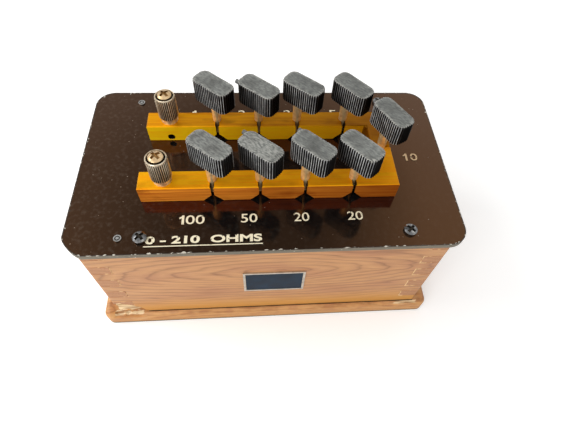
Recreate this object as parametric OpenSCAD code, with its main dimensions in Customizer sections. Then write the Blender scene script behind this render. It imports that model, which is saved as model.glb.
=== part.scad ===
// Plug-type resistance box. A finger-jointed wooden case carries a black sheet panel with two rows of
// brass blocks. Each taper plug bridges the gap between two blocks and shorts the coil under them.
// Lengths are in millimetres. The origin is the middle of the underside, with +Y to the back.

/* [Case] */
// Outside width of the wooden case
case_w = 191; // [175:0.5:240]
// Outside depth of the wooden case
case_d = 107.8; // [98:0.1:140]
// Height of the case walls
case_h = 76.5; // [65:0.5:100]
// Thickness of the case walls
wall_t = 12; // [10:0.5:15]
// Pairs of fingers at each corner of the case
finger_pairs = 5; // [3:1:8]
// Glue gap at each finger
glue_gap = 0.05; // [0.02:0.01:0.2]

/* [Base board] */
// Thickness of the base board
base_t = 10.7; // [8:0.1:16]
// How far the base board stands out at the sides of the case
base_lip_x = 9; // [4:0.5:15]
// How far the base board stands out at the front and back of the case
base_lip_y = 3.1; // [2:0.1:10]
// Corner radius of the base board, seen from above
base_corner_r = 5; // [4:0.5:12]
// Radius of the rounded top edge of the base board
base_edge_r = 3; // [1:0.5:3.5]
// Spacing of the base screws along the case
base_screw_pitch = 65; // [50:1:70]
// Shank diameter of the base screws
base_screw_d = 4; // [3:0.5:5]
// Head diameter of the base screws
base_screw_head_d = 8; // [7:0.5:9]
// Length of the base screws
base_screw_l = 28; // [22:1:35]
// Depth of the base screw heads below the underside
base_screw_sink = 0.5; // [0.2:0.1:1]

/* [Panel] */
// Thickness of the top panel
panel_t = 2.8; // [2:0.1:4]
// How far the panel stands out at the sides of the case
panel_lip_x = 6.1; // [2:0.1:10]
// How far the panel stands out at the front and back of the case
panel_lip_y = 3.3; // [2:0.1:10]
// Corner radius of the panel
panel_corner_r = 10.5; // [4:0.5:15]
// Distance of the left panel screw from the left end of the case
panel_screw_left = 31.2; // [28:0.1:45]
// Distance of the right panel screws from the right end of the case
panel_screw_right = 23.8; // [16:0.1:35]
// Head diameter of the panel screws
panel_screw_head_d = 6.9; // [6:0.1:8]
// Head height of the panel screws
panel_screw_head_h = 2.3; // [1.8:0.1:3]
// Shank diameter of the panel screws
panel_screw_d = 3.5; // [3:0.1:4]
// Length of the panel screws under their heads
panel_screw_l = 18; // [12:1:25]
// Distance of the two panel pins from the left end of the case
panel_pin_in = 20.6; // [16:0.1:22]
// Head diameter of the panel pins
panel_pin_head_d = 3.9; // [3:0.1:5]
// Head height of the panel pins
panel_pin_head_h = 0.6; // [0.4:0.1:1]
// Shank diameter of the panel pins
panel_pin_d = 1.6; // [1.2:0.1:2]
// Length of the panel pins under their heads
panel_pin_l = 14; // [8:1:20]

/* [Name plate] */
// Width of the bare plate on the front
plate_w = 35; // [25:0.5:50]
// Height of the bare plate
plate_h = 23; // [15:0.5:35]
// Thickness of the bare plate
plate_t = 0.8; // [0.5:0.1:1.5]
// Width of the raised rim of the plate
plate_rim = 1.3; // [0.8:0.1:3]
// Depth of the plate's field below its rim
plate_field_depth = 0.3; // [0.1:0.1:0.4]
// Distance of the plate's middle to the right of the case's middle
plate_x = 1.9; // [-10:0.1:10]
// Height of the plate's middle above the base board
plate_z = 37.6; // [30:0.1:45]

/* [Blocks] */
// Height of the brass blocks
block_h = 10.5; // [9:0.1:14]
// Width of the brass blocks
block_w = 11.4; // [10:0.1:14]
// Middle of the front row
front_row_y = -20.3; // [-24:0.1:-18]
// Middle of the rear row
rear_row_y = 22.7; // [20:0.1:27]
// Left end of both rows
row_left_x = -66.4; // [-72:0.1:-62]
// Right end of both rows
row_right_x = 67.9; // [65:0.1:74]
// Middle of each gap in the front row
front_gaps = [-29.3, -4.9, 18.5, 44.0]; // [-60:0.1:60]
// Middle of each gap in the rear row
rear_gaps = [-27.9, -4.6, 17.1, 43.8]; // [-60:0.1:60]
// Width of the gap between two blocks
gap_w = 1.5; // [1:0.1:2.2]
// Bevel under the blocks at each gap
foot_cut = 4.4; // [3:0.1:5]
// Bevel on the top edges of the blocks
edge_break = 0.4; // [0.2:0.1:0.8]
// Width of the link that joins the rows at the right
link_w = 10.6; // [9:0.1:13]
// Middle of the gap in that link
link_gap_y = 1.2; // [-1:0.1:3]
// Bevel in the inner corner of that link
link_corner = 1.8; // [1:0.1:3]

/* [Plugs] */
// Length of a plug head
head_l = 22.8; // [20:0.1:24]
// Width of a plug head
head_w = 11.4; // [10:0.1:12]
// Height of a plug head
head_h = 12.8; // [11:0.1:16]
// Corner radius of a plug head
head_corner_r = 3.2; // [1.5:0.1:4]
// Spacing of the ribs round a plug head
rib_pitch = 1.1; // [0.9:0.1:2]
// Depth of the grooves between the ribs
rib_depth = 0.35; // [0.2:0.05:0.5]
// Height of the heads above the blocks
plug_stand = 12.2; // [8:0.1:15]
// Diameter of the taper pin under its head
pin_top_d = 5.4; // [5:0.1:6]
// Diameter of the taper pin at its tip
pin_tip_d = 4; // [3.6:0.1:4.4]
// Bevel at the tip of the taper pin
pin_bevel = 0.6; // [0.3:0.1:1]
// Height of the pin's tip above the panel
pin_lift = 1.5; // [0.5:0.1:3]
// Gap between the taper pin and its seat
seat_gap = 0.05; // [0.02:0.01:0.1]
// Diameter of the tang that holds the head
tang_d = 3.6; // [3:0.1:4.5]
// Length of that tang
tang_l = 8; // [5:0.5:10]
// Turn of each plug in the front row
front_turns = [-39, -41, -43, -48]; // [-60:1:-35]
// Turn of each plug in the rear row
rear_turns = [-41, -40, -40, -49]; // [-60:1:-35]
// Turn of the plug in the link
link_turn = -60; // [-80:1:-50]
// How far each front head sits to the right of its pin
front_shift_x = [1.0, 0.5, 2.4, 0]; // [-1:0.1:3]
// How far each front head sits behind its pin
front_shift_y = [0.5, -1.0, -0.2, -0.8]; // [-2:0.1:2]
// How far each rear head sits to the right of its pin
rear_shift_x = [0, 0.3, 2.5, 2.2]; // [-1:0.1:3]
// How far each rear head sits behind its pin
rear_shift_y = [0.3, -2.0, 0, -1.0]; // [-2:0.1:2]
// How far the head in the link sits to the right of its pin
link_shift_x = 1.2; // [-1:0.1:3]
// Length of the moulding stub left on each front plug
front_stubs = [0, 1.8, 0.9, 0]; // [0:0.1:2]
// Length of the moulding stub left on each rear plug
rear_stubs = [0, 1.1, 0, 0]; // [0:0.1:2]
// How far each front stub is off the middle of its end
front_stub_off = [0, 2.8, 3.6, 0]; // [-4:0.1:4]
// How far each rear stub is off the middle of its end
rear_stub_off = [0, -3.2, 0, 0]; // [-4:0.1:4]
// Diameter of a moulding stub
stub_d = 2.8; // [2:0.1:4]

/* [Terminals] */
// Place of the terminals along the rows
terminal_x = -54; // [-57:0.1:-50]
// Diameter of the screw post
post_d = 4; // [3:0.1:5]
// Depth of the screw post in its block
post_grip = 5; // [4:0.1:6]
// Diameter of the knurled nut
nut_d = 10.8; // [10.6:0.1:13]
// Height of the knurled nut
nut_h = 16.2; // [14:0.1:20]
// Diameter of the plain collar at the foot of the nut
nut_collar_d = 8.6; // [7:0.1:10]
// Height of that collar
nut_collar_h = 2.4; // [1:0.1:4]
// Diameter of the recess in the nut
nut_recess_d = 9; // [8.6:0.1:9.4]
// Depth of the recess in the nut
nut_recess = 7.5; // [7:0.1:9]
// Height of the plain ring at each end of the knurl
nut_ring = 0.9; // [0.5:0.1:2]
// Grooves round the nut
knurl_count = 32; // [20:1:48]
// Depth of those grooves
knurl_depth = 0.4; // [0.2:0.05:0.5]
// Diameter of the washer under the nut
washer_d = 9; // [8:0.1:11]
// Thickness of that washer
washer_t = 0.8; // [0.5:0.1:1.2]
// Running gap of the nut and the washer
running_gap = 0.05; // [0.02:0.01:0.08]
// Head diameter of the post
post_head_d = 7.4; // [7:0.1:8.4]
// Head height of the post
post_head_h = 3; // [2:0.1:3.4]
// Height of the post's head above the nut's rim
post_rise = 1.8; // [0:0.1:2.4]
// Diameter of the hole for a lead in the rear terminal block
lead_hole_d = 4; // [3:0.1:4.4]
// Height of that hole's middle above the panel
lead_hole_z = 2.7; // [2.4:0.1:3]

/* [Coils] */
// Resistance of the coil at each gap in the front row
front_ohms = [100, 50, 20, 20]; // [1:1:500]
// Resistance of the coil at each gap in the rear row
rear_ohms = [1, 2, 2, 5]; // [1:1:500]
// Resistance of the coil at the link
link_ohms = 10; // [1:1:500]
// Diameter of the stud that holds each block
stud_d = 4; // [3:0.1:5]
// Depth of the stud in its block
stud_grip = 6.5; // [5:0.1:7.5]
// Gap round a stud or screw in a threaded hole
thread_gap = 0.05; // [0.02:0.01:0.1]
// Gap round a stud or screw in a plain hole
clear_gap = 0.3; // [0.2:0.05:0.5]
// Width of the hexagon nuts across the corners
hex_d = 8; // [7:0.1:9]
// Height of the hexagon nuts
hex_h = 3.2; // [2.4:0.1:4]
// Diameter of the flat washers under the panel
flat_d = 9; // [8:0.1:11]
// Thickness of the flat washers
flat_t = 0.8; // [0.5:0.1:1.2]
// Width of a solder tag
tag_w = 5; // [4:0.1:5.5]
// Thickness of a solder tag
tag_t = 0.8; // [0.5:0.1:1]
// Flange diameter of a bobbin
bobbin_d = 19; // [17:0.1:20]
// Core diameter of a bobbin
bobbin_core_d = 9; // [7:0.1:10]
// Length of a bobbin
bobbin_l = 34; // [24:0.5:44]
// Thickness of a bobbin's flanges
flange_t = 2.5; // [1.5:0.1:4]
// Depth of the thinnest winding
winding_min = 1.2; // [0.8:0.1:1.6]
// Growth of the winding's depth with its resistance
winding_growth = 0.5; // [0.2:0.05:0.55]
// Gap between a winding and its bobbin
winding_gap = 0.05; // [0.02:0.01:0.2]
// Diameter of the coils' end wires
wire_d = 0.8; // [0.6:0.1:1]
// Gap between an end wire and the bobbin's flange
wire_clear = 0.6; // [0.4:0.1:1]
// Distance of an end wire below the upper flange
wire_drop = 3; // [2:0.1:6]

/* [Hidden] */
$fn = 48;
// How far a cutter runs past the face that it opens
over = 1;
// Slot width of a cross recess, as a share of the head's diameter
cross_share = 0.2;
// Length of a cross recess, as a share of the head's diameter
cross_reach = 0.72;

base_w = case_w + 2 * base_lip_x;
base_d = case_d + 2 * base_lip_y;
base_round = min(base_edge_r, base_lip_x, base_lip_y);
panel_w = case_w + 2 * panel_lip_x;
panel_d = case_d + 2 * panel_lip_y;
panel_z = base_t + case_h;
panel_top = panel_z + panel_t;
block_top = panel_top + block_h;
wall_mid_y = (case_d - wall_t) / 2;
finger_h = case_h / (2 * finger_pairs);
link_x = row_right_x - link_w / 2;

head_z = block_top + plug_stand;
tip_z = panel_top + pin_lift;
nut_z = block_top + washer_t + 2 * running_gap;
nut_top = nut_z + nut_h;
post_head_z = nut_top + post_rise - post_head_h;

tag_z = panel_z - flat_t - tag_t;
hex_z = tag_z - hex_h;
bobbin_z = hex_z - bobbin_l;
end_nut_z = bobbin_z - hex_h;
winding_z = bobbin_z + flange_t + winding_gap;
winding_l = bobbin_l - 2 * (flange_t + winding_gap);
wire_z = hex_z - flange_t - wire_drop;
wire_reach = bobbin_d / 2 + wire_clear + wire_d / 2;
tag_reach = wire_reach + wire_d;
far_wire_x = tag_w / 2 + wire_clear + wire_d;

row_names = ["front", "rear"];
row_y = [front_row_y, rear_row_y];
row_inward = [1, -1];
row_gaps = [front_gaps, rear_gaps];
row_turns = [front_turns, rear_turns];
row_stubs = [front_stubs, rear_stubs];
row_stub_off = [front_stub_off, rear_stub_off];
row_shift_x = [front_shift_x, rear_shift_x];
row_shift_y = [front_shift_y, rear_shift_y];
row_ohms = [front_ohms, rear_ohms];
last = len(front_gaps);
block_ids = [for (r = [0, 1]) for (i = [0 : last]) [r, i]];
gap_ids = [for (r = [0, 1]) for (i = [0 : last - 1]) [r, i]];

function block_name(id) = str(row_names[id[0]], "_block_", id[1] + 1);
function gap_name(id) = str(row_names[id[0]], "_", id[1] + 1);
function gap_at(id) = [row_gaps[id[0]][id[1]], row_y[id[0]]];
function shift_at(id) = [row_shift_x[id[0]][id[1]], row_shift_y[id[0]][id[1]]];

// Shared shapes

// Rectangle with round corners, about the origin
module round_rectangle(w, d, r) {
    square([w - 2 * r, d], center = true);
    square([w, d - 2 * r], center = true);
    for (x = [-1, 1], y = [-1, 1])
        translate([x * (w / 2 - r), y * (d / 2 - r)])
            circle(r);
}

// Domed screw head with a cross recess, its underside on z = 0
module cross_head(d, h) {
    dome = h / 2;
    ball = (d * d / 4 + dome * dome) / (2 * dome);
    difference() {
        intersection() {
            cylinder(d = d, h = h);
            translate([0, 0, h - ball])
                sphere(ball, $fn = 96);
        }
        for (turn = [45, 135])
            rotate(turn)
                translate([0, 0, h])
                    cube([d * cross_reach, d * cross_share, h], center = true);
    }
}

// Round wire that joins two points
module wire(a, b) {
    run = b - a;
    translate(a)
        rotate([0, acos(run[2] / norm(run)), atan2(run[1], run[0])])
            cylinder(d = wire_d, h = norm(run));
}

// Round wire through a list of points, with ball elbows
module bent_wire(points) {
    for (i = [1 : len(points) - 1])
        wire(points[i - 1], points[i]);
    for (i = [1 : len(points) - 2])
        translate(points[i])
            sphere(d = wire_d);
}

// Wooden case

// Cross-section of the base board, with both top edges round
module board_section(w) {
    translate([-w / 2, 0])
        square([w, base_t - base_round]);
    translate([base_round - w / 2, 0])
        square([w - 2 * base_round, base_t]);
    for (side = [-1, 1])
        translate([side * (w / 2 - base_round), base_t - base_round])
            circle(base_round);
}

// Round corner of the base board
module board_corner() {
    rotate_extrude()
        intersection() {
            board_section(2 * base_corner_r);
            square([base_corner_r, base_t]);
        }
}

module at_base_screws() {
    for (x = [-1, 0, 1], y = [-1, 1])
        translate([x * base_screw_pitch, y * wall_mid_y, base_screw_sink])
            children();
}

// Countersunk wood screw, its head down, with room all round for the hole that takes it
module wood_screw(room) {
    head_r = base_screw_head_d / 2 + room;
    shank_r = base_screw_d / 2 + room;
    cylinder(r1 = head_r, r2 = shank_r, h = head_r - shank_r);
    cylinder(r = shank_r, h = base_screw_l);
}

module base_board() {
    color("peru")
        difference() {
            union() {
                rotate([90, 0, 90])
                    translate([0, 0, base_corner_r - base_w / 2])
                        linear_extrude(base_w - 2 * base_corner_r)
                            board_section(base_d);
                rotate([90, 0, 0])
                    translate([0, 0, base_corner_r - base_d / 2])
                        linear_extrude(base_d - 2 * base_corner_r)
                            board_section(base_w);
                for (x = [-1, 1], y = [-1, 1])
                    translate([x * (base_w / 2 - base_corner_r), y * (base_d / 2 - base_corner_r), 0])
                        board_corner();
            }
            at_base_screws() {
                wood_screw(thread_gap);
                translate([0, 0, -over])
                    cylinder(d = base_screw_head_d + 2 * thread_gap, h = over);
            }
        }
}

module base_screws() {
    color("silver")
        at_base_screws()
            wood_screw(0);
}

// Slots for the fingers of the neighbour walls, at every second step of the height
module finger_slots(depth, phase) {
    for (k = [phase : 2 : 2 * finger_pairs - 1])
        translate([-wall_t / 2 - glue_gap, -depth / 2, k * finger_h - glue_gap])
            cube([wall_t + 2 * glue_gap, depth, finger_h + 2 * glue_gap]);
}

module at_panel_screws() {
    translate([panel_screw_left - case_w / 2, -wall_mid_y, panel_top])
        children();
    for (y = [-1, 1])
        translate([case_w / 2 - panel_screw_right, y * wall_mid_y, panel_top])
            children();
}

module at_panel_pins() {
    for (y = [-1, 1])
        translate([panel_pin_in - case_w / 2, y * wall_mid_y, panel_top])
            children();
}

// Holes that the screws and pins leave in the walls
module wall_holes() {
    at_base_screws()
        wood_screw(thread_gap);
    at_panel_screws()
        translate([0, 0, -panel_screw_l - over])
            cylinder(d = panel_screw_d + 2 * thread_gap, h = panel_screw_l + over);
    at_panel_pins()
        translate([0, 0, -panel_pin_l - over])
            cylinder(d = panel_pin_d + 2 * thread_gap, h = panel_pin_l + over);
}

// Front or rear wall, side = -1 or 1, with slots at both ends
module long_wall(side) {
    difference() {
        translate([-case_w / 2, side * wall_mid_y - wall_t / 2, base_t])
            cube([case_w, wall_t, case_h]);
        for (x = [-1, 1])
            translate([x * (case_w - wall_t) / 2, side * wall_mid_y, base_t])
                finger_slots(wall_t + 2 * over, 1);
        wall_holes();
    }
}

// Left or right wall, side = -1 or 1, with fingers that fill those slots
module short_wall(side) {
    translate([side * (case_w - wall_t) / 2, 0, base_t])
        difference() {
            translate([-wall_t / 2, -case_d / 2, 0])
                cube([wall_t, case_d, case_h]);
            for (y = [-1, 1])
                translate([0, y * wall_mid_y, 0])
                    rotate(90)
                        finger_slots(wall_t + 2 * over, 0);
        }
}

module front_wall() {
    color("sienna") long_wall(-1);
}

module rear_wall() {
    color("sienna") long_wall(1);
}

module left_wall() {
    color("chocolate") short_wall(-1);
}

module right_wall() {
    color("chocolate") short_wall(1);
}

// Bare plate with a raised rim on the front wall
module name_plate() {
    color("midnightblue")
        translate([plate_x, -case_d / 2, base_t + plate_z])
            rotate([90, 0, 0])
                difference() {
                    linear_extrude(plate_t)
                        square([plate_w, plate_h], center = true);
                    translate([0, 0, plate_t - plate_field_depth])
                        linear_extrude(plate_t)
                            square([plate_w - 2 * plate_rim, plate_h - 2 * plate_rim], center = true);
                }
}

// Panel

module top_panel() {
    color("black")
        difference() {
            translate([0, 0, panel_z])
                linear_extrude(panel_t)
                    round_rectangle(panel_w, panel_d, panel_corner_r);
            translate([0, 0, panel_z - over]) {
                for (id = block_ids)
                    translate(stud_at(id))
                        cylinder(d = stud_d + 2 * clear_gap, h = panel_t + 2 * over);
            }
            at_panel_screws()
                translate([0, 0, -panel_t - over])
                    cylinder(d = panel_screw_d + 2 * clear_gap, h = panel_t + 2 * over);
            at_panel_pins()
                translate([0, 0, -panel_t - over])
                    cylinder(d = panel_pin_d + 2 * clear_gap, h = panel_t + 2 * over);
        }
}

module panel_screws() {
    color("dimgray")
        at_panel_screws() {
            cross_head(panel_screw_head_d, panel_screw_head_h);
            translate([0, 0, -panel_screw_l])
                cylinder(d = panel_screw_d, h = panel_screw_l + panel_screw_head_h / 4);
        }
}

// Small pins whose flat heads have a turned ring
module panel_pins() {
    color("gainsboro")
        at_panel_pins()
            rotate_extrude()
                difference() {
                    union() {
                        square([panel_pin_head_d / 2, panel_pin_head_h]);
                        translate([0, -panel_pin_l])
                            square([panel_pin_d / 2, panel_pin_l + panel_pin_head_h / 2]);
                    }
                    translate([panel_pin_d / 2, panel_pin_head_h / 2])
                        square([panel_pin_d / 3, panel_pin_head_h]);
                }
}

// Brass blocks

// Ends of a row and the gaps between its blocks, from left to right
function row_edges(r) = concat([row_left_x], row_gaps[r], [row_right_x]);

// Middle of the stud under a block, clear of the terminal in the first block
function stud_at(id) =
    let (edges = row_edges(id[0]), left = id[1] == 0 ? terminal_x : edges[id[1]])
        [(left + edges[id[1] + 1]) / 2, row_y[id[0]]];

// Radius of the taper pin at a height
function pin_r(z) =
    pin_tip_d / 2 + (pin_top_d - pin_tip_d) / 2 * (z - tip_z) / (head_z - tip_z);

// Bar from a to b along X, about the X axis. An end at a gap is cut away underneath
module bar(a, b, w, cut_a, cut_b) {
    foot_a = cut_a ? foot_cut : edge_break;
    foot_b = cut_b ? foot_cut : edge_break;
    intersection() {
        translate([0, w / 2, panel_top])
            rotate([90, 0, 0])
                linear_extrude(w)
                    polygon([
                        [a + foot_a, 0], [b - foot_b, 0], [b, foot_b], [b, block_h - edge_break],
                        [b - edge_break, block_h], [a + edge_break, block_h],
                        [a, block_h - edge_break], [a, foot_a]
                    ]);
        translate([a, 0, panel_top])
            rotate([90, 0, 90])
                linear_extrude(b - a)
                    polygon([
                        [-w / 2, 0], [w / 2, 0], [w / 2, block_h - edge_break],
                        [w / 2 - edge_break, block_h], [edge_break - w / 2, block_h],
                        [-w / 2, block_h - edge_break]
                    ]);
    }
}

// Half of the link at the right, from row r towards the gap between the rows
module link(r) {
    gap_edge = link_gap_y - row_inward[r] * gap_w / 2;
    translate([link_x, 0, 0])
        rotate(90)
            if (r == 0)
                bar(row_y[r], gap_edge, link_w, false, true);
            else
                bar(gap_edge, row_y[r], link_w, true, false);
    translate([row_right_x - link_w, row_y[r] + row_inward[r] * block_w / 2, panel_top])
        linear_extrude(block_h - edge_break)
            polygon([
                [over, -row_inward[r] * over], [-link_corner, -row_inward[r] * over], [-link_corner, 0],
                [0, row_inward[r] * link_corner], [over, row_inward[r] * link_corner]
            ]);
}

// Tapered hole that two blocks share at a gap
module plug_seat(at) {
    low = panel_top - over;
    high = block_top + over;
    translate([at[0], at[1], low])
        cylinder(r1 = pin_r(low) + seat_gap, r2 = pin_r(high) + seat_gap, h = high - low);
}

module block(id) {
    r = id[0];
    i = id[1];
    edges = row_edges(r);
    color("goldenrod")
        difference() {
            union() {
                translate([0, row_y[r], 0])
                    bar(
                        edges[i] + (i > 0 ? gap_w / 2 : 0), edges[i + 1] - (i < last ? gap_w / 2 : 0),
                        block_w, i > 0, i < last
                    );
                if (i == last)
                    link(r);
            }
            if (i > 0)
                plug_seat(gap_at([r, i - 1]));
            if (i < last)
                plug_seat(gap_at([r, i]));
            else
                plug_seat([link_x, link_gap_y]);
            translate([stud_at(id)[0], stud_at(id)[1], panel_top - over])
                cylinder(d = stud_d + 2 * thread_gap, h = stud_grip + over + thread_gap);
            if (i == 0)
                translate([terminal_x, row_y[r], block_top - post_grip - thread_gap])
                    cylinder(d = post_d + 2 * thread_gap, h = post_grip + over);
            if (i == 0 && r == 1)
                translate([terminal_x, row_y[r], panel_top + lead_hole_z])
                    rotate([90, 0, 0])
                        cylinder(d = lead_hole_d, h = block_w + 2 * over, center = true);
        }
}

// Plugs

function side_run(k) = (k % 2 == 0 ? head_w : head_l) - 2 * head_corner_r;
function side_start(k) = k == 0 ? 0 : side_start(k - 1) + side_run(k - 1) + PI * head_corner_r / 2;
function side_at(s, k = 3) = k == 0 || s >= side_start(k) ? k : side_at(s, k - 1);
function corner_centre(k) = [
    (k % 4 < 2 ? 1 : -1) * (head_l / 2 - head_corner_r),
    (k % 4 == 1 || k % 4 == 2 ? 1 : -1) * (head_w / 2 - head_corner_r)
];

// Point of the head's outline at a length s along it, set in by a depth
function outline_point(s, depth) =
    let (
        k = side_at(s),
        t = s - side_start(k),
        bend = max(0, t - side_run(k)) / head_corner_r * 180 / PI,
        along = [cos(90 * k + 90), sin(90 * k + 90)],
        centre = bend > 0 ? corner_centre(k + 1) : corner_centre(k) + t * along
    )
        centre + (head_corner_r - depth) * [cos(90 * k + bend), sin(90 * k + bend)];

head_outline_run = side_start(4);
half_ribs = 2 * round(head_outline_run / rib_pitch);

// Turned pin with a taper, and the tang that the head is moulded on
module plug_pin(at) {
    color("burlywood")
        translate([at[0], at[1], 0])
            rotate_extrude()
                polygon([
                    [0, tip_z], [pin_tip_d / 2 - pin_bevel, tip_z], [pin_r(tip_z + pin_bevel), tip_z + pin_bevel],
                    [pin_top_d / 2, head_z], [tang_d / 2, head_z], [tang_d / 2, head_z + tang_l],
                    [0, head_z + tang_l]
                ]);
}

// Ribbed head that sits a shift off its pin. A stub longer than nothing is what the moulding left
module plug_head(at, shift, turn, stub, stub_off) {
    color("darkslategray")
        translate([at[0], at[1], head_z])
            difference() {
                translate(shift)
                    rotate(turn) {
                        linear_extrude(head_h)
                            polygon([
                                for (j = [0 : half_ribs - 1])
                                    outline_point(j * head_outline_run / half_ribs, (j % 2) * rib_depth)
                            ]);
                        if (stub > 0)
                            translate([-head_l / 2 - stub, stub_off, head_h - stub_d / 2])
                                rotate([0, 90, 0])
                                    cylinder(d = stub_d, h = stub + 2 * head_corner_r);
                    }
                translate([0, 0, -over])
                    cylinder(d = tang_d + 2 * thread_gap, h = tang_l + over + thread_gap);
            }
}

// Terminals

// Screw posts with domed heads that keep the nuts from coming off
module terminal_posts() {
    color("wheat")
        for (y = row_y)
            translate([terminal_x, y, 0]) {
                translate([0, 0, block_top - post_grip])
                    cylinder(d = post_d, h = post_head_z - block_top + post_grip + post_head_h / 4);
                translate([0, 0, post_head_z])
                    cross_head(post_head_d, post_head_h);
            }
}

module terminal_washer(r) {
    color("silver")
        translate([terminal_x, row_y[r], block_top + running_gap])
            difference() {
                cylinder(d = washer_d, h = washer_t);
                translate([0, 0, -over])
                    cylinder(d = post_d + 2 * running_gap, h = washer_t + 2 * over);
            }
}

// Knurled nut with a deep recess for the head of its post
module terminal_nut(r) {
    color("gray")
        translate([terminal_x, row_y[r], nut_z])
            difference() {
                union() {
                    cylinder(d = nut_collar_d, h = nut_h);
                    translate([0, 0, nut_collar_h])
                        cylinder(d = nut_d - knurl_depth, h = nut_h - nut_collar_h);
                    translate([0, 0, nut_collar_h + nut_ring])
                        linear_extrude(nut_h - nut_collar_h - 2 * nut_ring)
                            polygon([
                                for (j = [0 : 2 * knurl_count - 1])
                                    (nut_d / 2 - (j % 2) * knurl_depth)
                                        * [cos(180 * j / knurl_count), sin(180 * j / knurl_count)]
                            ]);
                }
                translate([0, 0, -over])
                    cylinder(d = post_d + 2 * running_gap, h = nut_h);
                translate([0, 0, nut_h - nut_recess])
                    cylinder(d = nut_recess_d, h = nut_recess + over);
            }
}

// Coils under the panel

// Blocks whose studs carry a bobbin: all but the last block of the rear row
function has_bobbin(id) = id != [1, last];

// Resistance of the coil on a block's stud
function ohms(id) = id == [0, last] ? link_ohms : row_ohms[id[0]][id[1]];

// Outside radius of the winding for a resistance
function winding_r(value) = bobbin_core_d / 2 + winding_min + winding_growth * ln(1 + value);

module at_studs(ids) {
    for (id = ids)
        translate(stud_at(id))
            children();
}

bobbin_ids = [for (id = block_ids) if (has_bobbin(id)) id];
bare_stud_ids = [for (id = block_ids) if (!has_bobbin(id)) id];

module block_studs() {
    color("goldenrod") {
        at_studs(bobbin_ids)
            translate([0, 0, end_nut_z])
                cylinder(d = stud_d, h = panel_top + stud_grip - end_nut_z);
        at_studs(bare_stud_ids)
            translate([0, 0, hex_z])
                cylinder(d = stud_d, h = panel_top + stud_grip - hex_z);
    }
}

// Round or six-sided ring about a stud
module stud_ring(d, h, sides) {
    difference() {
        cylinder(d = d, h = h, $fn = sides);
        translate([0, 0, -over])
            cylinder(d = stud_d + 2 * thread_gap, h = h + 2 * over);
    }
}

module stud_washers() {
    color("silver")
        at_studs(block_ids)
            translate([0, 0, panel_z - flat_t])
                stud_ring(flat_d, flat_t, $fn);
}

module stud_nuts() {
    color("gold")
        at_studs(block_ids)
            translate([0, 0, hex_z])
                stud_ring(hex_d, hex_h, 6);
}

module bobbin_nuts() {
    color("gold")
        at_studs(bobbin_ids)
            translate([0, 0, end_nut_z])
                stud_ring(hex_d, hex_h, 6);
}

// Tags with a tail towards the other row, where the coils' ends are soldered
module solder_tags() {
    color("lightgray")
        for (id = block_ids)
            translate([stud_at(id)[0], stud_at(id)[1], tag_z])
                difference() {
                    union() {
                        cylinder(d = flat_d, h = tag_t);
                        rotate(90 * row_inward[id[0]])
                            translate([0, -tag_w / 2, 0])
                                cube([tag_reach, tag_w, tag_t]);
                    }
                    translate([0, 0, -over])
                        cylinder(d = stud_d + 2 * thread_gap, h = tag_t + 2 * over);
                }
}

module bobbins() {
    color("saddlebrown")
        at_studs(bobbin_ids)
            translate([0, 0, bobbin_z])
                rotate_extrude()
                    difference() {
                        square([bobbin_d / 2, bobbin_l]);
                        translate([bobbin_core_d / 2, flange_t])
                            square([bobbin_d, bobbin_l - 2 * flange_t]);
                        square([stud_d / 2 + clear_gap, bobbin_l]);
                    }
}

module coil(id) {
    color("darkgoldenrod")
        translate([stud_at(id)[0], stud_at(id)[1], winding_z])
            difference() {
                cylinder(r = winding_r(ohms(id)), h = winding_l);
                translate([0, 0, -over])
                    cylinder(r = bobbin_core_d / 2 + winding_gap, h = winding_l + 2 * over);
            }
}

// Place in a row's own layout: x and the distance y towards the other row, from a stud
function from_stud(id, x, y, z) =
    [stud_at(id)[0] + x, stud_at(id)[1] + row_inward[id[0]] * y, z];

// Distance from the stud at which a wire that is x to the side meets a winding
function wire_meets(id, x) =
    let (near = max(0, x - wire_d / 2), r = winding_r(ohms(id)))
        sqrt(r * r - near * near) + winding_gap;

// Both ends of each coil: one to the tag on its own stud, one to the tag on the next stud
module coil_leads() {
    color("orange")
        for (id = bobbin_ids) {
            bent_wire([
                from_stud(id, 0, wire_meets(id, 0), wire_z),
                from_stud(id, 0, wire_reach, wire_z),
                from_stud(id, 0, wire_reach, tag_z)
            ]);
            next = id[1] < last ? [id[0], id[1] + 1] : [1, last];
            side = id[1] < last ? -1 : 1;
            tag_mid = tag_z + tag_t / 2;
            bent_wire(concat(
                [
                    from_stud(id, far_wire_x, wire_meets(id, far_wire_x), wire_z),
                    from_stud(id, far_wire_x, wire_reach, wire_z),
                    from_stud(id, far_wire_x, wire_reach, tag_mid)
                ],
                id[1] < last ? [] : [[
                    stud_at(id)[0] + far_wire_x, from_stud(next, 0, wire_reach, 0)[1], tag_mid
                ]],
                [from_stud(next, side * tag_w / 2, wire_reach, tag_mid)]
            ));
        }
}

// The nodes

base_board();
front_wall();
rear_wall();
left_wall();
right_wall();
base_screws();
top_panel();
panel_screws();
panel_pins();
name_plate();
for (id = block_ids)
    block(id);
block_studs();
stud_washers();
solder_tags();
stud_nuts();
bobbins();
bobbin_nuts();
coil_leads();
for (id = gap_ids)
    coil(id);
coil([0, last]);  // coil_link
for (id = gap_ids)
    plug_pin(gap_at(id));
plug_pin([link_x, link_gap_y]);  // plug_pin_link
for (id = gap_ids)
    plug_head(
            gap_at(id), shift_at(id), row_turns[id[0]][id[1]], row_stubs[id[0]][id[1]], row_stub_off[id[0]][id[1]]
        );
plug_head([link_x, link_gap_y], [link_shift_x, 0], link_turn, 0, 0);  // plug_head_link
terminal_posts();
for (r = [0, 1])
    terminal_washer(r);
for (r = [0, 1])
    terminal_nut(r);
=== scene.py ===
"""Dressed model of a plug-type resistance box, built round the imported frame.

Sizes are in millimetres while a mesh is shaped, and in metres once its piece is finished.
"""

import logging
import math
from dataclasses import dataclass
from enum import Enum
from functools import cached_property

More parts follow.
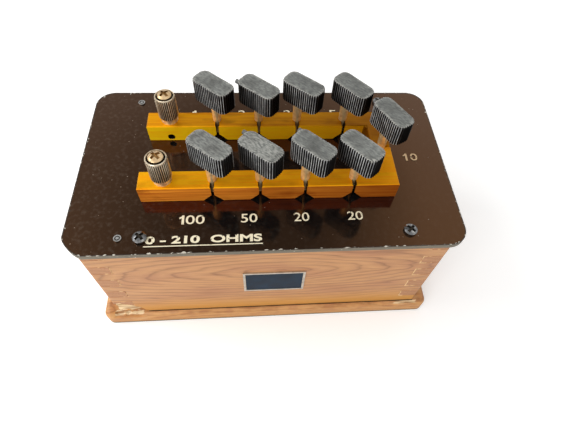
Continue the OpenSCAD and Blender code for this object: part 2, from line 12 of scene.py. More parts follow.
import bmesh
import bpy
from mathutils import Matrix, Vector, noise


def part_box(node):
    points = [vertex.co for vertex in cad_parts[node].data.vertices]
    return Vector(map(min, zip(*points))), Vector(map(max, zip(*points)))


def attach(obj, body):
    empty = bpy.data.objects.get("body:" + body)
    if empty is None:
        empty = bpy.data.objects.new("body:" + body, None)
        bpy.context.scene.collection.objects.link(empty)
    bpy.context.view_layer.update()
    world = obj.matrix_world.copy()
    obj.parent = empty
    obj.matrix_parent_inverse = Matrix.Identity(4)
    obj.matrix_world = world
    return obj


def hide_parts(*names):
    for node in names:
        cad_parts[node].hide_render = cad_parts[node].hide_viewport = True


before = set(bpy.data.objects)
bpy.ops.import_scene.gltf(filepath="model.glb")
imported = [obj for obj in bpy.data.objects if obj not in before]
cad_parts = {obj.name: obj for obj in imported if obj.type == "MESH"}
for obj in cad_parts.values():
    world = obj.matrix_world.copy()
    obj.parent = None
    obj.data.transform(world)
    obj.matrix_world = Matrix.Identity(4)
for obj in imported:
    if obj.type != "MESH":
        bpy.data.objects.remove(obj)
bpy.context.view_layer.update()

MM = 0.001
LOG = logging.getLogger("resistance_box")

Socket = bpy.types.NodeSocket
Tree = bpy.types.NodeTree
Node = bpy.types.Node
Mesh = bmesh.types.BMesh
Pair = tuple[float, float]
Triple = tuple[float, float, float]

# Places closer than this count as the same, in millimetres
NEAR = 0.01
# Scale of a wave texture at which one band is one unit of its space wide
ONE_BAND = math.tau / 20
# Values of the attribute groove at which painted shade starts to darken ebonite and at which it is black
DARK_FROM = 0.06
DARK_FULL = 0.42


class Grain(Enum):
    """Way that the grain of a board runs, as the turn of its pattern about Z."""

    ALONG_X = 0.0
    ALONG_Y = math.pi / 2


class Row(Enum):
    """The two rows of blocks."""

    FRONT = "front"
    REAR = "rear"


def linear(colour: str) -> tuple[float, float, float, float]:
    """Turn an sRGB hex colour to linear.

    Args:
        colour: The colour as #rrggbb.

    Returns:
        Red, green, blue and a full alpha.
    """
    parts = [int(colour[k:k + 2], 16) / 255 for k in (1, 3, 5)]
    red, green, blue = (p / 12.92 if p <= 0.04045 else ((p + 0.055) / 1.055) ** 2.4 for p in parts)
    return (red, green, blue, 1.0)


def add_node(
    tree: Tree,
    kind: str,
    inputs: dict[str | int, object] | None = None,
    stops: list[tuple[float, str]] | None = None,
    **settings: object,
) -> Node:
    """Add a shader node with its settings, values and links.

    Args:
        tree: The tree that takes the node.
        kind: The node's type without its ShaderNode prefix.
        inputs: Values or sockets for the node's inputs.
        stops: Places and colours of a colour ramp.
        settings: Properties of the node.

    Returns:
        The new node.
    """
    made = tree.nodes.new("ShaderNode" + kind)
    for name, value in settings.items():
        setattr(made, name, value)
    for key, value in (inputs or {}).items():
        if isinstance(value, Socket):
            tree.links.new(value, made.inputs[key])
        else:
            made.inputs[key].default_value = value
    if stops:
        ramp = made.color_ramp.elements
        while len(ramp) < len(stops):
            ramp.new(1.0)
        for stop, (place, colour) in zip(ramp, stops):
            stop.position = place
            stop.color = linear(colour)
    return made


@dataclass(frozen=True)
class Finish:
    """A surface finish that becomes one material."""

    name: str

    def material(self) -> bpy.types.Material:
        """Give the finish's material, made at its first use.

        Returns:
            The material.
        """
        made = bpy.data.materials.get(self.name)
        if made is None:
            made = bpy.data.materials.new(self.name)
            made.use_nodes = True
            self.dress(made.node_tree, made.node_tree.nodes["Principled BSDF"])
        return made

    def dress(self, tree: Tree, shader: Node) -> None:
        """Set the shader of the material.

        Args:
            tree: The material's tree.
            shader: The material's shader.
        """
        raise NotImplementedError

    @staticmethod
    def space(
        tree: Tree, size: Triple | float, turn: Triple = (0.0, 0.0, 0.0), centre: Triple = (0.0, 0.0, 0.0)
    ) -> Socket:
        """Give the space of a pattern whose one unit is a real size.

        Args:
            tree: The material's tree.
            size: Length of one unit along each axis, or along all of them, in millimetres.
            turn: Turn of the pattern about each axis.
            centre: Middle of the pattern in the frame, in millimetres.

        Returns:
            The socket that carries the pattern's coordinates.
        """
        sizes = size if isinstance(size, tuple) else (size,) * 3
        values = {
            "Vector": add_node(tree, "TexCoord").outputs["Object"], "Scale": [s * MM for s in sizes],
            "Rotation": turn, "Location": [c * MM for c in centre],
        }
        return add_node(tree, "Mapping", values, vector_type="TEXTURE").outputs[0]

    def along(self, tree: Tree, axis: int) -> Socket:
        """Give the place along an axis of the frame, in millimetres."""
        return add_node(tree, "SeparateXYZ", {0: self.space(tree, 1.0)}).outputs[axis]

    def mottle(
        self,
        tree: Tree,
        size: Triple | float,
        turn: Triple = (0.0, 0.0, 0.0),
        detail: float = 3.0,
        fine: float = 0.5,
    ) -> Socket:
        """Give a random pattern of a real size.

        Args:
            tree: The material's tree.
            size: Size of a patch along each axis, or along all of them, in millimetres.
            turn: Turn of the pattern about each axis.
            detail: Number of finer layers.
            fine: Strength of each finer layer.

        Returns:
            The socket of the pattern, which is mostly near 0.5.
        """
        values = {"Vector": self.space(tree, size, turn), "Scale": 1.0, "Detail": detail, "Roughness": fine}
        return add_node(tree, "TexNoise", values).outputs[0]

    @staticmethod
    def tint(
        tree: Tree,
        colour: Socket | str,
        mark: Socket,
        low: float,
        high: float,
        over: Socket | str,
        most: Socket | float = 1.0,
    ) -> Socket:
        """Lay a colour over another one by the strength of a pattern.

        Args:
            tree: The material's tree.
            colour: The colour below, as a socket or a hex value.
            mark: The pattern.
            low: Value of the pattern at which none of the colour on top shows.
            high: Value of the pattern at which the most of it shows.
            over: The colour on top, as a socket or a hex value.
            most: Greatest share of the colour on top.

        Returns:
            The socket of the mixed colour.
        """
        share = add_node(tree, "MapRange", {0: mark, 1: low, 2: high, 3: 0.0, 4: most}).outputs[0]
        below, above = (linear(c) if isinstance(c, str) else c for c in (colour, over))
        return add_node(tree, "Mix", {0: share, 6: below, 7: above}, data_type="RGBA").outputs[2]

    @staticmethod
    def surface(
        tree: Tree,
        shader: Node,
        colour: Socket,
        relief: Socket,
        gloss: Pair,
        depth: float = 0.0,
        strength: float = 0.5,
        reach: Pair = (0.3, 0.7),
    ) -> None:
        """Give a shader its colour, with a roughness and a relief that follow a pattern.

        Args:
            tree: The material's tree.
            shader: The material's shader.
            colour: Colour of the surface.
            relief: The pattern.
            gloss: Roughness at the low and at the high end of the pattern.
            depth: Depth of the relief in millimetres, with none made at 0.
            strength: Strength of the relief.
            reach: Values of the pattern at its low and at its high end.
        """
        tree.links.new(colour, shader.inputs["Base Color"])
        rough = add_node(tree, "MapRange", {0: relief, 1: reach[0], 2: reach[1], 3: gloss[0], 4: gloss[1]})
        tree.links.new(rough.outputs[0], shader.inputs["Roughness"])
        if depth:
            raised = add_node(tree, "Bump", {"Height": relief, "Distance": depth * MM, "Strength": strength})
            tree.links.new(raised.outputs[0], shader.inputs["Normal"])


@dataclass(frozen=True)
class VarnishedWood(Finish):
    """Plain-sawn hardwood under old satin varnish: looped growth lines, fine fibres and a soft sheen.

    The fibres are drawn coarser than real ones, so that they show. The attribute wear marks where the wood
    is rubbed bare and, below zero, where a painted shadow lines the rim of a break.
    """

    grain: Grain
    light: str = "#d29a64"
    middle: str = "#c28a5a"
    line: str = "#8c5c38"
    low: str = "#d3933c"
    bare: str = "#eed2a4"
    splinter: str = "#96642f"
    rim_shadow: str = "#5f3a1c"
    red: str = "#ae7350"
    fibre: Triple = (22.0, 0.7, 0.7)
    split: Triple = (22.0, 2.0, 2.0)
    nick: Triple = (4.0, 2.5, 1.0)
    patch: Triple = (45.0, 14.0, 14.0)
    eye: Triple = (6.0, -53.9, 62.0)
    eye_size: Triple = (52.0, 40.0, 13.0)
    loops: float = 3.4
    figure: Triple = (130.0, 24.0, 24.0)
    bulges: float = 6.5
    contrast: float = 0.72
    low_reach: Pair = (29.0, 16.0)
    gloss: Pair = (0.42, 0.62)
    fibre_depth: float = 0.06

    def dress(self, tree: Tree, shader: Node) -> None:
        """Set growth lines, fibres, bare places and varnish.

        Args:
            tree: The material's tree.
            shader: The material's shader.
        """
        turn = (0.0, 0.0, self.grain.value)
        eye = self.space(tree, self.eye_size, turn, self.eye)
        rings = add_node(tree, "VectorMath", {0: eye}, operation="LENGTH").outputs[1]
        rings = add_node(tree, "Math", {0: rings, 1: self.loops}, operation="MULTIPLY").outputs[0]
        values = {0: self.mottle(tree, self.figure, turn), 1: self.bulges, 2: rings}
        rings = add_node(tree, "Math", values, operation="MULTIPLY_ADD").outputs[0]
        step = add_node(tree, "Math", {0: rings}, operation="FRACT").outputs[0]
        shades = [
            (0.0, self.middle), (0.3, self.light), (0.72, self.middle), (0.9, self.line), (1.0, self.middle),
        ]
        lines = add_node(tree, "ValToRGB", {0: step}, shades).outputs[0]
        values = {0: self.contrast, 6: linear(self.middle), 7: lines}
        colour = add_node(tree, "Mix", values, data_type="RGBA").outputs[2]
        fibres = self.mottle(tree, self.fibre, turn, fine=0.65)
        colour = self.tint(tree, colour, fibres, 0.48, 0.72, self.line, 0.68)
        patches = self.mottle(tree, self.patch, turn, 2.0)
        colour = self.tint(tree, colour, patches, 0.45, 0.75, self.light, 0.5)
        colour = self.tint(tree, colour, patches, 0.5, 0.3, self.red, 0.45)
        colour = self.tint(tree, colour, self.along(tree, 2), *self.low_reach, self.low, 0.85)
        bare = self.tint(tree, self.bare, self.mottle(tree, self.split, turn), 0.46, 0.62, self.splinter)
        wear = add_node(tree, "Attribute", attribute_name="wear").outputs["Fac"]
        # Below zero, wear paints the shadow under the rim of a break
        colour = self.tint(tree, colour, wear, -0.2, -0.9, self.rim_shadow, 0.85)
        nicks = self.mottle(tree, self.nick, detail=4.0)
        rubbed = add_node(tree, "Math", {0: wear, 1: nicks}, operation="ADD").outputs[0]
        colour = self.tint(tree, colour, rubbed, 1.0, 1.1, bare)
        self.surface(tree, shader, colour, fibres, self.gloss, self.fibre_depth)
        shader.inputs["Coat Weight"].default_value = 0.12
        shader.inputs["Coat Roughness"].default_value = 0.25


@dataclass(frozen=True)
class EndGrain(Finish):
    """Sawn end of a board under varnish: close pores, and darker because it drinks the varnish.

    The pores are drawn coarser than real ones, so that they show.
    """

    pale: str = "#bf8a62"
    dark: str = "#a06e48"
    pore: float = 0.9
    pore_depth: float = 0.1
    arc: Triple = (5.0, 5.0, 3.2)
    arc_turn: Triple = (0.5, 0.2, 0.0)

    def dress(self, tree: Tree, shader: Node) -> None:
        """Set pores and ring arcs.

        Args:
            tree: The material's tree.
            shader: The material's shader.
        """
        pores = self.mottle(tree, self.pore, fine=0.65)
        space = self.space(tree, self.arc, self.arc_turn)
        values = {"Vector": space, "Scale": ONE_BAND, "Distortion": 3.0, "Detail": 2.0}
        arcs = add_node(tree, "TexWave", values, wave_type="BANDS", bands_direction="Z").outputs[1]
        colour = self.tint(tree, self.pale, arcs, 0.1, 0.9, self.dark, 0.35)
        colour = self.tint(tree, colour, pores, 0.5, 0.72, self.dark, 0.5)
        self.surface(tree, shader, colour, pores, (0.5, 0.72), self.pore_depth, 0.4)


@dataclass(frozen=True)
class GlueLine(Finish):
    """Pale filler rubbed into the finger joints: chalky and broken."""

    filler: str = "#edcb98"
    wood: str = "#b98258"
    crumb: float = 3.0
    corner_reach: Pair = (84.0, 92.0)
    left_reach: Pair = (40.0, -40.0)

    def dress(self, tree: Tree, shader: Node) -> None:
        """Set the breaks in the filler, of which there are more at the corners and to the left.

        Args:
            tree: The material's tree.
            shader: The material's shader.
        """
        crumbs = self.mottle(tree, self.crumb)
        side = self.along(tree, 0)
        out = add_node(tree, "Math", {0: side}, operation="ABSOLUTE").outputs[0]
        lost = crumbs
        for place, (start, end), most in ((out, self.corner_reach, 0.14), (side, self.left_reach, 0.05)):
            more = add_node(tree, "MapRange", {0: place, 1: start, 2: end, 3: 0.0, 4: most}).outputs[0]
            lost = add_node(tree, "Math", {0: lost, 1: more}, operation="ADD").outputs[0]
        colour = self.tint(tree, self.filler, lost, 0.48, 0.6, self.wood)
        self.surface(tree, shader, colour, crumbs, (0.6, 0.8))


@dataclass(frozen=True)
class PolishedSheet(Finish):
    """Black-brown laminated sheet, press-polished: deep and mirror-like, with hairline scratches and dust.

    The scratches and the dust are drawn coarser than real ones, so that they show.
    """

    deep: str = "#0c0d0e"
    painted_reflection_brown: str = "#1f140c"
    dust: str = "#b9ada0"
    sheen: str = "#ffb272"
    cloud: float = 60.0
    haze: float = 2.2
    speck: float = 2.6
    scratch: Triple = (40.0, 0.6, 4.0)
    scratch_turn: Triple = (0.0, 0.0, 0.5)
    painted_reflection_reach: Pair = (-60.0, 100.0)
    haze_reach: Pair = (-95.0, 0.0)
    wave_depth: float = 0.25

    def dress(self, tree: Tree, shader: Node) -> None:
        """Set the tint, with a brown painted reflection that grows towards the right, the haze, the dust and
        the scratches.

        Args:
            tree: The material's tree.
            shader: The material's shader.
        """
        clouds = self.mottle(tree, self.cloud, detail=2.0)
        side = self.along(tree, 0)
        # A brown painted reflection in the base colour, stronger towards the right
        left, right = self.painted_reflection_reach
        painted_reflection_share = add_node(tree, "MapRange", {0: side, 1: left, 2: right, 3: 0.1, 4: 0.6}).outputs[0]
        colour = self.tint(tree, self.deep, clouds, 0.0, 1.0, self.painted_reflection_brown, painted_reflection_share)
        left, right = self.haze_reach
        hazy = add_node(tree, "MapRange", {0: side, 1: left, 2: right, 3: 0.06, 4: 0.02}).outputs[0]
        colour = self.tint(tree, colour, self.mottle(tree, self.haze, detail=4.0), 0.5, 0.75, self.dust, hazy)
        values = {"Vector": self.space(tree, self.speck), "Scale": 1.0}
        specks = add_node(tree, "TexVoronoi", values, feature="F1")
        drawn = add_node(tree, "SeparateXYZ", {0: specks.outputs[1]}).outputs[0]
        chosen = add_node(tree, "MapRange", {0: drawn, 1: 0.8, 2: 0.84}).outputs[0]
        dust = add_node(tree, "MapRange", {0: specks.outputs[0], 1: 0.12, 2: 0.05, 4: chosen}).outputs[0]
        colour = self.tint(tree, colour, dust, 0.0, 1.0, self.dust, 0.55)
        scratches = self.mottle(tree, self.scratch, self.scratch_turn, 2.0)
        gloss = add_node(tree, "MapRange", {0: scratches, 1: 0.55, 2: 0.75, 3: 0.11, 4: 0.18}).outputs[0]
        rough = add_node(tree, "Math", {0: gloss, 1: dust}, operation="MAXIMUM").outputs[0]
        waves = add_node(tree, "Bump", {"Height": clouds, "Distance": self.wave_depth * MM, "Strength": 0.05})
        for made, name in ((colour, "Base Color"), (rough, "Roughness"), (waves.outputs[0], "Normal")):
            tree.links.new(made, shader.inputs[name])
        shader.inputs["IOR"].default_value = 1.82
        shader.inputs["Specular Tint"].default_value = linear(self.sheen)


@dataclass(frozen=True)
class SheetEdge(Finish):
    """Sawn edge of that sheet: grey-green resin layers, with black skin chipped to a whitish core.

    The attribute wear marks the chips.
    """

    core: str = "#7d7666"
    skin: str = "#2a241f"
    chip: str = "#d9d4c6"
    bare: float = 0.45
    layer: Triple = (12.0, 12.0, 0.35)
    flake: Triple = (2.4, 2.4, 1.2)
    flake_depth: float = 0.15

    def dress(self, tree: Tree, shader: Node) -> None:
        """Set layers and chips.

        Args:
            tree: The material's tree.
            shader: The material's shader.
        """
        layers = self.mottle(tree, self.layer, detail=2.0)
        colour = self.tint(tree, self.core, layers, 0.4, 0.7, self.skin, 0.5)
        flakes = self.mottle(tree, self.flake, detail=4.0, fine=0.6)
        wear = add_node(tree, "Attribute", attribute_name="wear").outputs["Fac"]
        chipped = add_node(tree, "Math", {0: wear, 1: flakes}, operation="ADD").outputs[0]
        colour = self.tint(tree, colour, chipped, 1.0 - self.bare, 1.08 - self.bare, self.chip)
        self.surface(tree, shader, colour, flakes, (0.45, 0.8), self.flake_depth)


@dataclass(frozen=True)
class CreamInk(Finish):
    """Cream screen-printed ink: flat, and worn through to the sheet in spots."""

    ink: str = "#f3e8c8"
    thin: str = "#b7a98a"
    sheet: str = "#241c17"
    spot: float = 1.4

    def dress(self, tree: Tree, shader: Node) -> None:
        """Set the ink's wear.

        Args:
            tree: The material's tree.
            shader: The material's shader.
        """
        spots = self.mottle(tree, self.spot, detail=4.0)
        colour = self.tint(tree, self.ink, spots, 0.56, 0.74, self.thin, 0.8)
        colour = self.tint(tree, colour, spots, 0.63, 0.67, self.sheet)
        self.surface(tree, shader, colour, spots, (0.4, 0.6))


@dataclass(frozen=True)
class BrushedBrass(Finish):
    """Milled brass bar brushed along the rows and lacquered: long streaks, gold with darker stains.

    The streaks are drawn coarser than real ones, so that they show.
    """

    bright: str
    deep: str
    stain: str
    stain_share: float = 0.7
    metal: float = 0.9
    age: float = 0.5
    right_darkening_reach: Pair = (-58.0, 90.0)
    streak: Triple = (45.0, 0.9, 1.3)
    streak_depth: float = 0.04
    cloud: Triple = (16.0, 7.0, 7.0)

    def dress(self, tree: Tree, shader: Node) -> None:
        """Set streaks and stains, with the stain colour laid on more towards the right.

        Args:
            tree: The material's tree.
            shader: The material's shader.
        """
        streaks = self.mottle(tree, self.streak, fine=0.6)
        colour = self.tint(tree, self.bright, streaks, 0.35, 0.7, self.deep)
        clouds = self.mottle(tree, self.cloud)
        colour = self.tint(tree, colour, clouds, 0.5, 0.78, self.stain, self.stain_share)
        colour = self.tint(tree, colour, self.along(tree, 0), *self.right_darkening_reach, self.stain, self.age)
        self.surface(tree, shader, colour, streaks, (0.36, 0.55), self.streak_depth, reach=(0.3, 0.75))
        shader.inputs["Metallic"].default_value = self.metal
        shader.inputs["Specular IOR Level"].default_value = 0.1


@dataclass(frozen=True)
class TurnedMetal(Finish):
    """Metal from the lathe: fine rings round the axis and a dull film in patches.

    The rings are drawn coarser than real ones, so that they show.
    """

    bright: str
    film: str
    gloss: Pair = (0.22, 0.42)
    film_share: float = 0.6
    metal: float = 1.0
    ring_depth: float = 0.03
    ring: Triple = (30.0, 30.0, 0.3)
    patch: float = 3.0

    def dress(self, tree: Tree, shader: Node) -> None:
        """Set lathe rings and the film.

        Args:
            tree: The material's tree.
            shader: The material's shader.
        """
        rings = self.mottle(tree, self.ring, detail=2.0)
        patches = self.mottle(tree, self.patch, detail=4.0)
        colour = self.tint(tree, self.bright, patches, 0.4, 0.7, self.film, self.film_share)
        self.surface(tree, shader, colour, rings, self.gloss, self.ring_depth)
        shader.inputs["Metallic"].default_value = self.metal


@dataclass(frozen=True)
class KnurledNickel(TurnedMetal):
    """Nickel plate on a knurl: bright worn ridges, with dark dirt and painted shade where the attribute
    groove is high.
    """

    dirt_and_shade: str = "#1d1813"

    def dress(self, tree: Tree, shader: Node) -> None:
        """Set the metal, then the dirt and painted shade in the grooves.

        Args:
            tree: The material's tree.
            shader: The material's shader.
        """
        super().dress(tree, shader)
        clean = shader.inputs["Base Color"].links[0].from_socket
        groove = add_node(tree, "Attribute", attribute_name="groove").outputs["Fac"]
        colour = self.tint(tree, clean, groove, 0.2, 0.7, self.dirt_and_shade)
        tree.links.new(colour, shader.inputs["Base Color"])


@dataclass(frozen=True)
class MouldedEbonite(Finish):
    """Black moulded plug resin: satin and greyed by handling, with black painted shade in its grooves.

    The attribute groove marks where the painted shade falls, and the attribute wear marks a pale painted
    highlight on rubbed edges.
    """

    black: str = "#5b5d5f"
    worn: str = "#85878a"
    # Pale painted highlight on the rim, where the attribute wear is high
    edge: str = "#b4b1a8"
    deep: str = "#08080a"
    shade: str = "#4e5052"
    scuff: Triple = (1.0, 1.0, 3.0)
    scuff_turn: Triple = (0.0, 0.0, -0.75)
    cloud: float = 4.5
    gloss: Pair = (0.32, 0.5)
    worn_share: Pair = (0.4, 0.75)
    scratch_depth: float = 0.03
    specular: float = 0.5

    def dress(self, tree: Tree, shader: Node) -> None:
        """Set scuffs, clouds, painted shade in the grooves and a painted highlight on rubbed edges.

        Args:
            tree: The material's tree.
            shader: The material's shader.
        """
        scuffs = self.mottle(tree, self.scuff, self.scuff_turn, fine=0.55)
        colour = self.tint(tree, self.black, scuffs, *self.worn_share, self.worn)
        colour = self.tint(tree, colour, self.mottle(tree, self.cloud), 0.42, 0.68, self.shade, 0.6)
        groove = add_node(tree, "Attribute", attribute_name="groove").outputs["Fac"]
        colour = self.tint(tree, colour, groove, DARK_FROM, DARK_FULL, self.deep)
        wear = add_node(tree, "Attribute", attribute_name="wear").outputs["Fac"]
        colour = self.tint(tree, colour, scuffs, 0.38, 0.62, self.edge, wear)
        self.surface(tree, shader, colour, scuffs, self.gloss, self.scratch_depth, 0.6)
        shader.inputs["Specular IOR Level"].default_value = self.specular


@dataclass(frozen=True)
class BlackedSteel(Finish):
    """Black-nickelled screws: dark mirror, with bright metal where a driver has rubbed."""

    black: str = "#727374"
    rubbed: str = "#ccc9c2"
    patch: float = 1.6
    rub_depth: float = 0.03

    def dress(self, tree: Tree, shader: Node) -> None:
        """Set the rubbed patches.

        Args:
            tree: The material's tree.
            shader: The material's shader.
        """
        rubs = self.mottle(tree, self.patch, detail=4.0)
        colour = self.tint(tree, self.black, rubs, 0.52, 0.75, self.rubbed, 0.8)
        self.surface(tree, shader, colour, rubs, (0.3, 0.2), self.rub_depth)
        shader.inputs["Metallic"].default_value = 1.0


@dataclass(frozen=True)
class StoveEnamel(Finish):
    """Dark stove enamel in the field of the plate: smooth, with faint cloudiness."""

    dark: str = "#1b2836"
    pale: str = "#2a3a4a"
    cloud: float = 7.0
    cloud_depth: float = 0.05

    def dress(self, tree: Tree, shader: Node) -> None:
        """Set the clouds in the enamel.

        Args:
            tree: The material's tree.
            shader: The material's shader.
        """
        clouds = self.mottle(tree, self.cloud, detail=4.0)
        colour = self.tint(tree, self.dark, clouds, 0.35, 0.7, self.pale)
        self.surface(tree, shader, colour, clouds, (0.4, 0.55), self.cloud_depth, 0.3)
        shader.inputs["Specular IOR Level"].default_value = 0.1


@dataclass(frozen=True)
class WoundWire(Finish):
    """Varnished resistance wire wound in close turns: fine bands along the bobbin."""

    wire: str = "#8a5a2c"
    gap: str = "#2e1c0f"
    pitch: float = 0.8
    turn_depth: float = 0.2

    def dress(self, tree: Tree, shader: Node) -> None:
        """Set the turns of the wire.

        Args:
            tree: The material's tree.
            shader: The material's shader.
        """
        values = {"Vector": self.space(tree, self.pitch), "Scale": ONE_BAND}
        turns = add_node(tree, "TexWave", values, wave_type="BANDS", bands_direction="Z").outputs[1]
        colour = self.tint(tree, self.gap, turns, 0.0, 1.0, self.wire)
        self.surface(tree, shader, colour, turns, (0.6, 0.3), self.turn_depth, 0.6, (0.0, 1.0))


# Hardwood boards under old varnish: warm brown with looped growth lines, and the grain along each wall
LONG_WOOD = VarnishedWood("varnished_hardwood_long", Grain.ALONG_X)
SHORT_WOOD = VarnishedWood("varnished_hardwood_short", Grain.ALONG_Y)
# Sawn ends of those boards: flat and close-pored, so that the fingers stand out
END_WOOD = EndGrain("hardwood_end_grain")
# Wood filler in the joints: a pale broken line round each finger
FILLER = GlueLine("pale_joint_filler")
# Dark seam at the foot of the walls: dirt packed into the joint, and painted shade of the gap
FOOT_SEAM_DIRT_AND_SHADE = EndGrain("foot_seam_dirt_and_painted_shade", pale="#3f2712", dark="#1d1108")
# Base board of the same wood: more orange than the walls, and nicked pale along its edge
BASE_WOOD = VarnishedWood(
    "worn_varnished_base_board", Grain.ALONG_X, light="#e4b072", middle="#c88c50", line="#90592c",
    low="#cc8e4a", eye=(30.0, -40.0, -20.0), patch=(7.0, 4.0, 4.0), low_reach=(11.0, 1.0),
)
# Grey-brown band along the base board's lower edge: dirt rubbed in, and the painted shadow where it meets the
# floor
SOLE_DIRT_AND_SHADOW = EndGrain("base_sole_dirt_and_painted_shadow", pale="#7f6d4d", dark="#4c3d28")
# Phenolic paper sheet: a black-brown mirror, with a grey-green sawn edge and a dark arris chipped white
PANEL_FACE = PolishedSheet("polished_phenolic_sheet")
PANEL_EDGE = SheetEdge("sawn_phenolic_edge", bare=0.36)
PANEL_ARRIS = SheetEdge("chipped_phenolic_arris", core="#3a332c", bare=0.42)
# Screen ink: flat cream, and browner where it is dulled
INK = CreamInk("cream_screen_ink")
DULL_INK = CreamInk("dulled_screen_ink", ink="#e0bf92", thin="#b08f66")
# Brass bar: golden on the front row, darker and browner to the right on the rear row
BRASS = BrushedBrass("brushed_lacquered_brass", "#ffbc0c", "#ff9e04", "#a64c00", 0.4, 0.45, 0.45)
REAR_BRASS = BrushedBrass("tarnished_lacquered_brass", "#ffb408", "#e48c06", "#7a4400", 0.7, 0.6, 1.0)
# Front faces of the bar, in finishes of their own that paint light and shade: painted shade makes the front
# row's faces orange-brown, and painted light keeps the rear row's faces clear yellow in the shade of the
# heads
PAINTED_SHADE_FRONT_BRASS = BrushedBrass("brass_front_painted_shade", "#fca034", "#c8641a", "#843a06", 0.6, 0.15, 0.95)
PAINTED_LIGHT_FRONT_BRASS = BrushedBrass("brass_front_painted_light", "#ffd814", "#ffc00c", "#e48c08", 0.4, 0.1, 0.8)
# A pale painted highlight along each block's front top edge, and painted shade that turns the block ends in
# the gaps black
PAINTED_HIGHLIGHT_EDGE_BRASS = BrushedBrass("brass_edge_painted_highlight", "#ffd860", "#f2b63a", "#b27c1c", 0.3, 0.4)
PAINTED_SHADE_GAP_BRASS = BrushedBrass("brass_in_gaps_painted_shade", "#5a3a0c", "#3a2408", "#1a1006", 0.9, 0.4)
# Turned brass of the pins and posts: pale and satin, with a brown film and painted shade in the posts'
# recesses
PIN_BRASS = TurnedMetal("turned_pale_brass", "#f8e0ac", "#c09a5a", (0.3, 0.38), 0.6, 0.62, 0.002)
POST_BRASS = TurnedMetal("nickelled_brass_post", "#e6c79c", "#b08d5e", (0.25, 0.4))
RECESS_FILM_AND_SHADE_BRASS = TurnedMetal("brass_recess_film_and_painted_shade", "#a98450", "#6b4e2c", (0.3, 0.5), 0.6, 0.7)
# Nickel plate of the nuts: warm grey ridges; recesses near black with dirt and painted shade
NICKEL = KnurledNickel("dull_nickel_plate", "#efe0c6", "#a08a6a", (0.25, 0.42), 0.7, 0.8)
RECESS_DIRT_AND_SHADE = TurnedMetal("nickel_recess_dirt_and_painted_shade", "#4b443c", "#17130f", (0.4, 0.6), 0.9)
# Steel: grey and bright where zinc-plated, a dark mirror where black-nickelled
STEEL = TurnedMetal("zinc_plated_steel", "#c9c9c6", "#8f8d88")
BLACK_STEEL = BlackedSteel("black_nickelled_steel")
# Ebonite heads: ribs with a pale painted highlight on each ridge and black painted shade in the grooves,
# clouded grey tops with a rim of painted highlight, and black undersides
# Here black holds the pale painted highlight of the ridges, and deep the black painted shade of the grooves
HEAD_SIDE = MouldedEbonite(
    "ebonite_ribs_painted_highlight_and_shade", black="#b4b5b6", worn="#f4f4f0", deep="#020203", specular=0.1
)
# Its edge colour is the pale painted highlight along the rim
HEAD_TOP = MouldedEbonite(
    "worn_ebonite_top", black="#646663", worn="#8e908a", edge="#b6b5ad", scuff=(2.2, 0.9, 2.2),
    gloss=(0.45, 0.62), worn_share=(0.36, 0.68), scratch_depth=0.015, shade="#3f3e3a", cloud=9.0,
)
HEAD_UNDER = MouldedEbonite("black_ebonite_underside", black="#17171a", worn="#26262a")
# Plate: a smooth dark blue field in a bright metal rim
ENAMEL = StoveEnamel("navy_stove_enamel")
PLATE_METAL = TurnedMetal("bright_plate_rim", "#d9d6cc", "#a39d8f", (0.2, 0.4))
# Pieces inside: brown bobbins, dark wire in turns, reddish leads and yellow hardware
BOBBIN = MouldedEbonite("moulded_brown_bobbin", black="#3a2618", worn="#5a3b24")
WINDING = WoundWire("wound_resistance_wire")
COPPER = TurnedMetal("tinned_copper_wire", "#c88a5e", "#8a5632")
HARD_BRASS = TurnedMetal("plain_brass_hardware", "#d9a845", "#9b6a25")


def frame_half(node: str, axis: int) -> float:
    """Give the greatest reach of a CAD node from the middle along an axis, in millimetres."""
    low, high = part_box(node)
    return max(abs(low[axis]), abs(high[axis])) / MM


def frame_top(node: str) -> float:
    """Give the top of a CAD node in millimetres."""
    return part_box(node)[1].z / MM


def merged_copy(node: str, weld: float = 0.002, flat: float = 0.5) -> Mesh:
    """Copy a CAD node's mesh in millimetres, with its triangles joined.

    Args:
        node: Name of the CAD node.
        weld: Distance within which vertices are merged.
        flat: Angle in degrees below which neighbouring faces become one.

    Returns:
        The joined copy.
    """
    bm = bmesh.new()
    bm.from_mesh(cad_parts[node].data)
    bmesh.ops.scale(bm, vec=(1 / MM,) * 3, verts=bm.verts)
    bmesh.ops.remove_doubles(bm, verts=bm.verts, dist=weld)
    bmesh.ops.dissolve_limit(bm, angle_limit=math.radians(flat), verts=bm.verts, edges=bm.edges)
    return bm


def verts_in(geom: list[object]) -> list[bmesh.types.BMVert]:
    """Pick the vertices out of an operator's result."""
    return [v for v in geom if isinstance(v, bmesh.types.BMVert)]


def bevel_edges(
    bm: Mesh, edges: list[bmesh.types.BMEdge], offset: float, segments: int, material: int = -1
) -> None:
    """Bevel the edges of a mesh.

    Args:
        bm: The mesh.
        edges: The edges.
        offset: Width of the bevel on each side of an edge.
        segments: Number of faces across the bevel.
        material: Material number of the bevel, or -1 for that of its neighbours.
    """
    bmesh.ops.bevel(
        bm, geom=edges, offset=offset, segments=segments, profile=0.5, affect="EDGES", material=material
    )


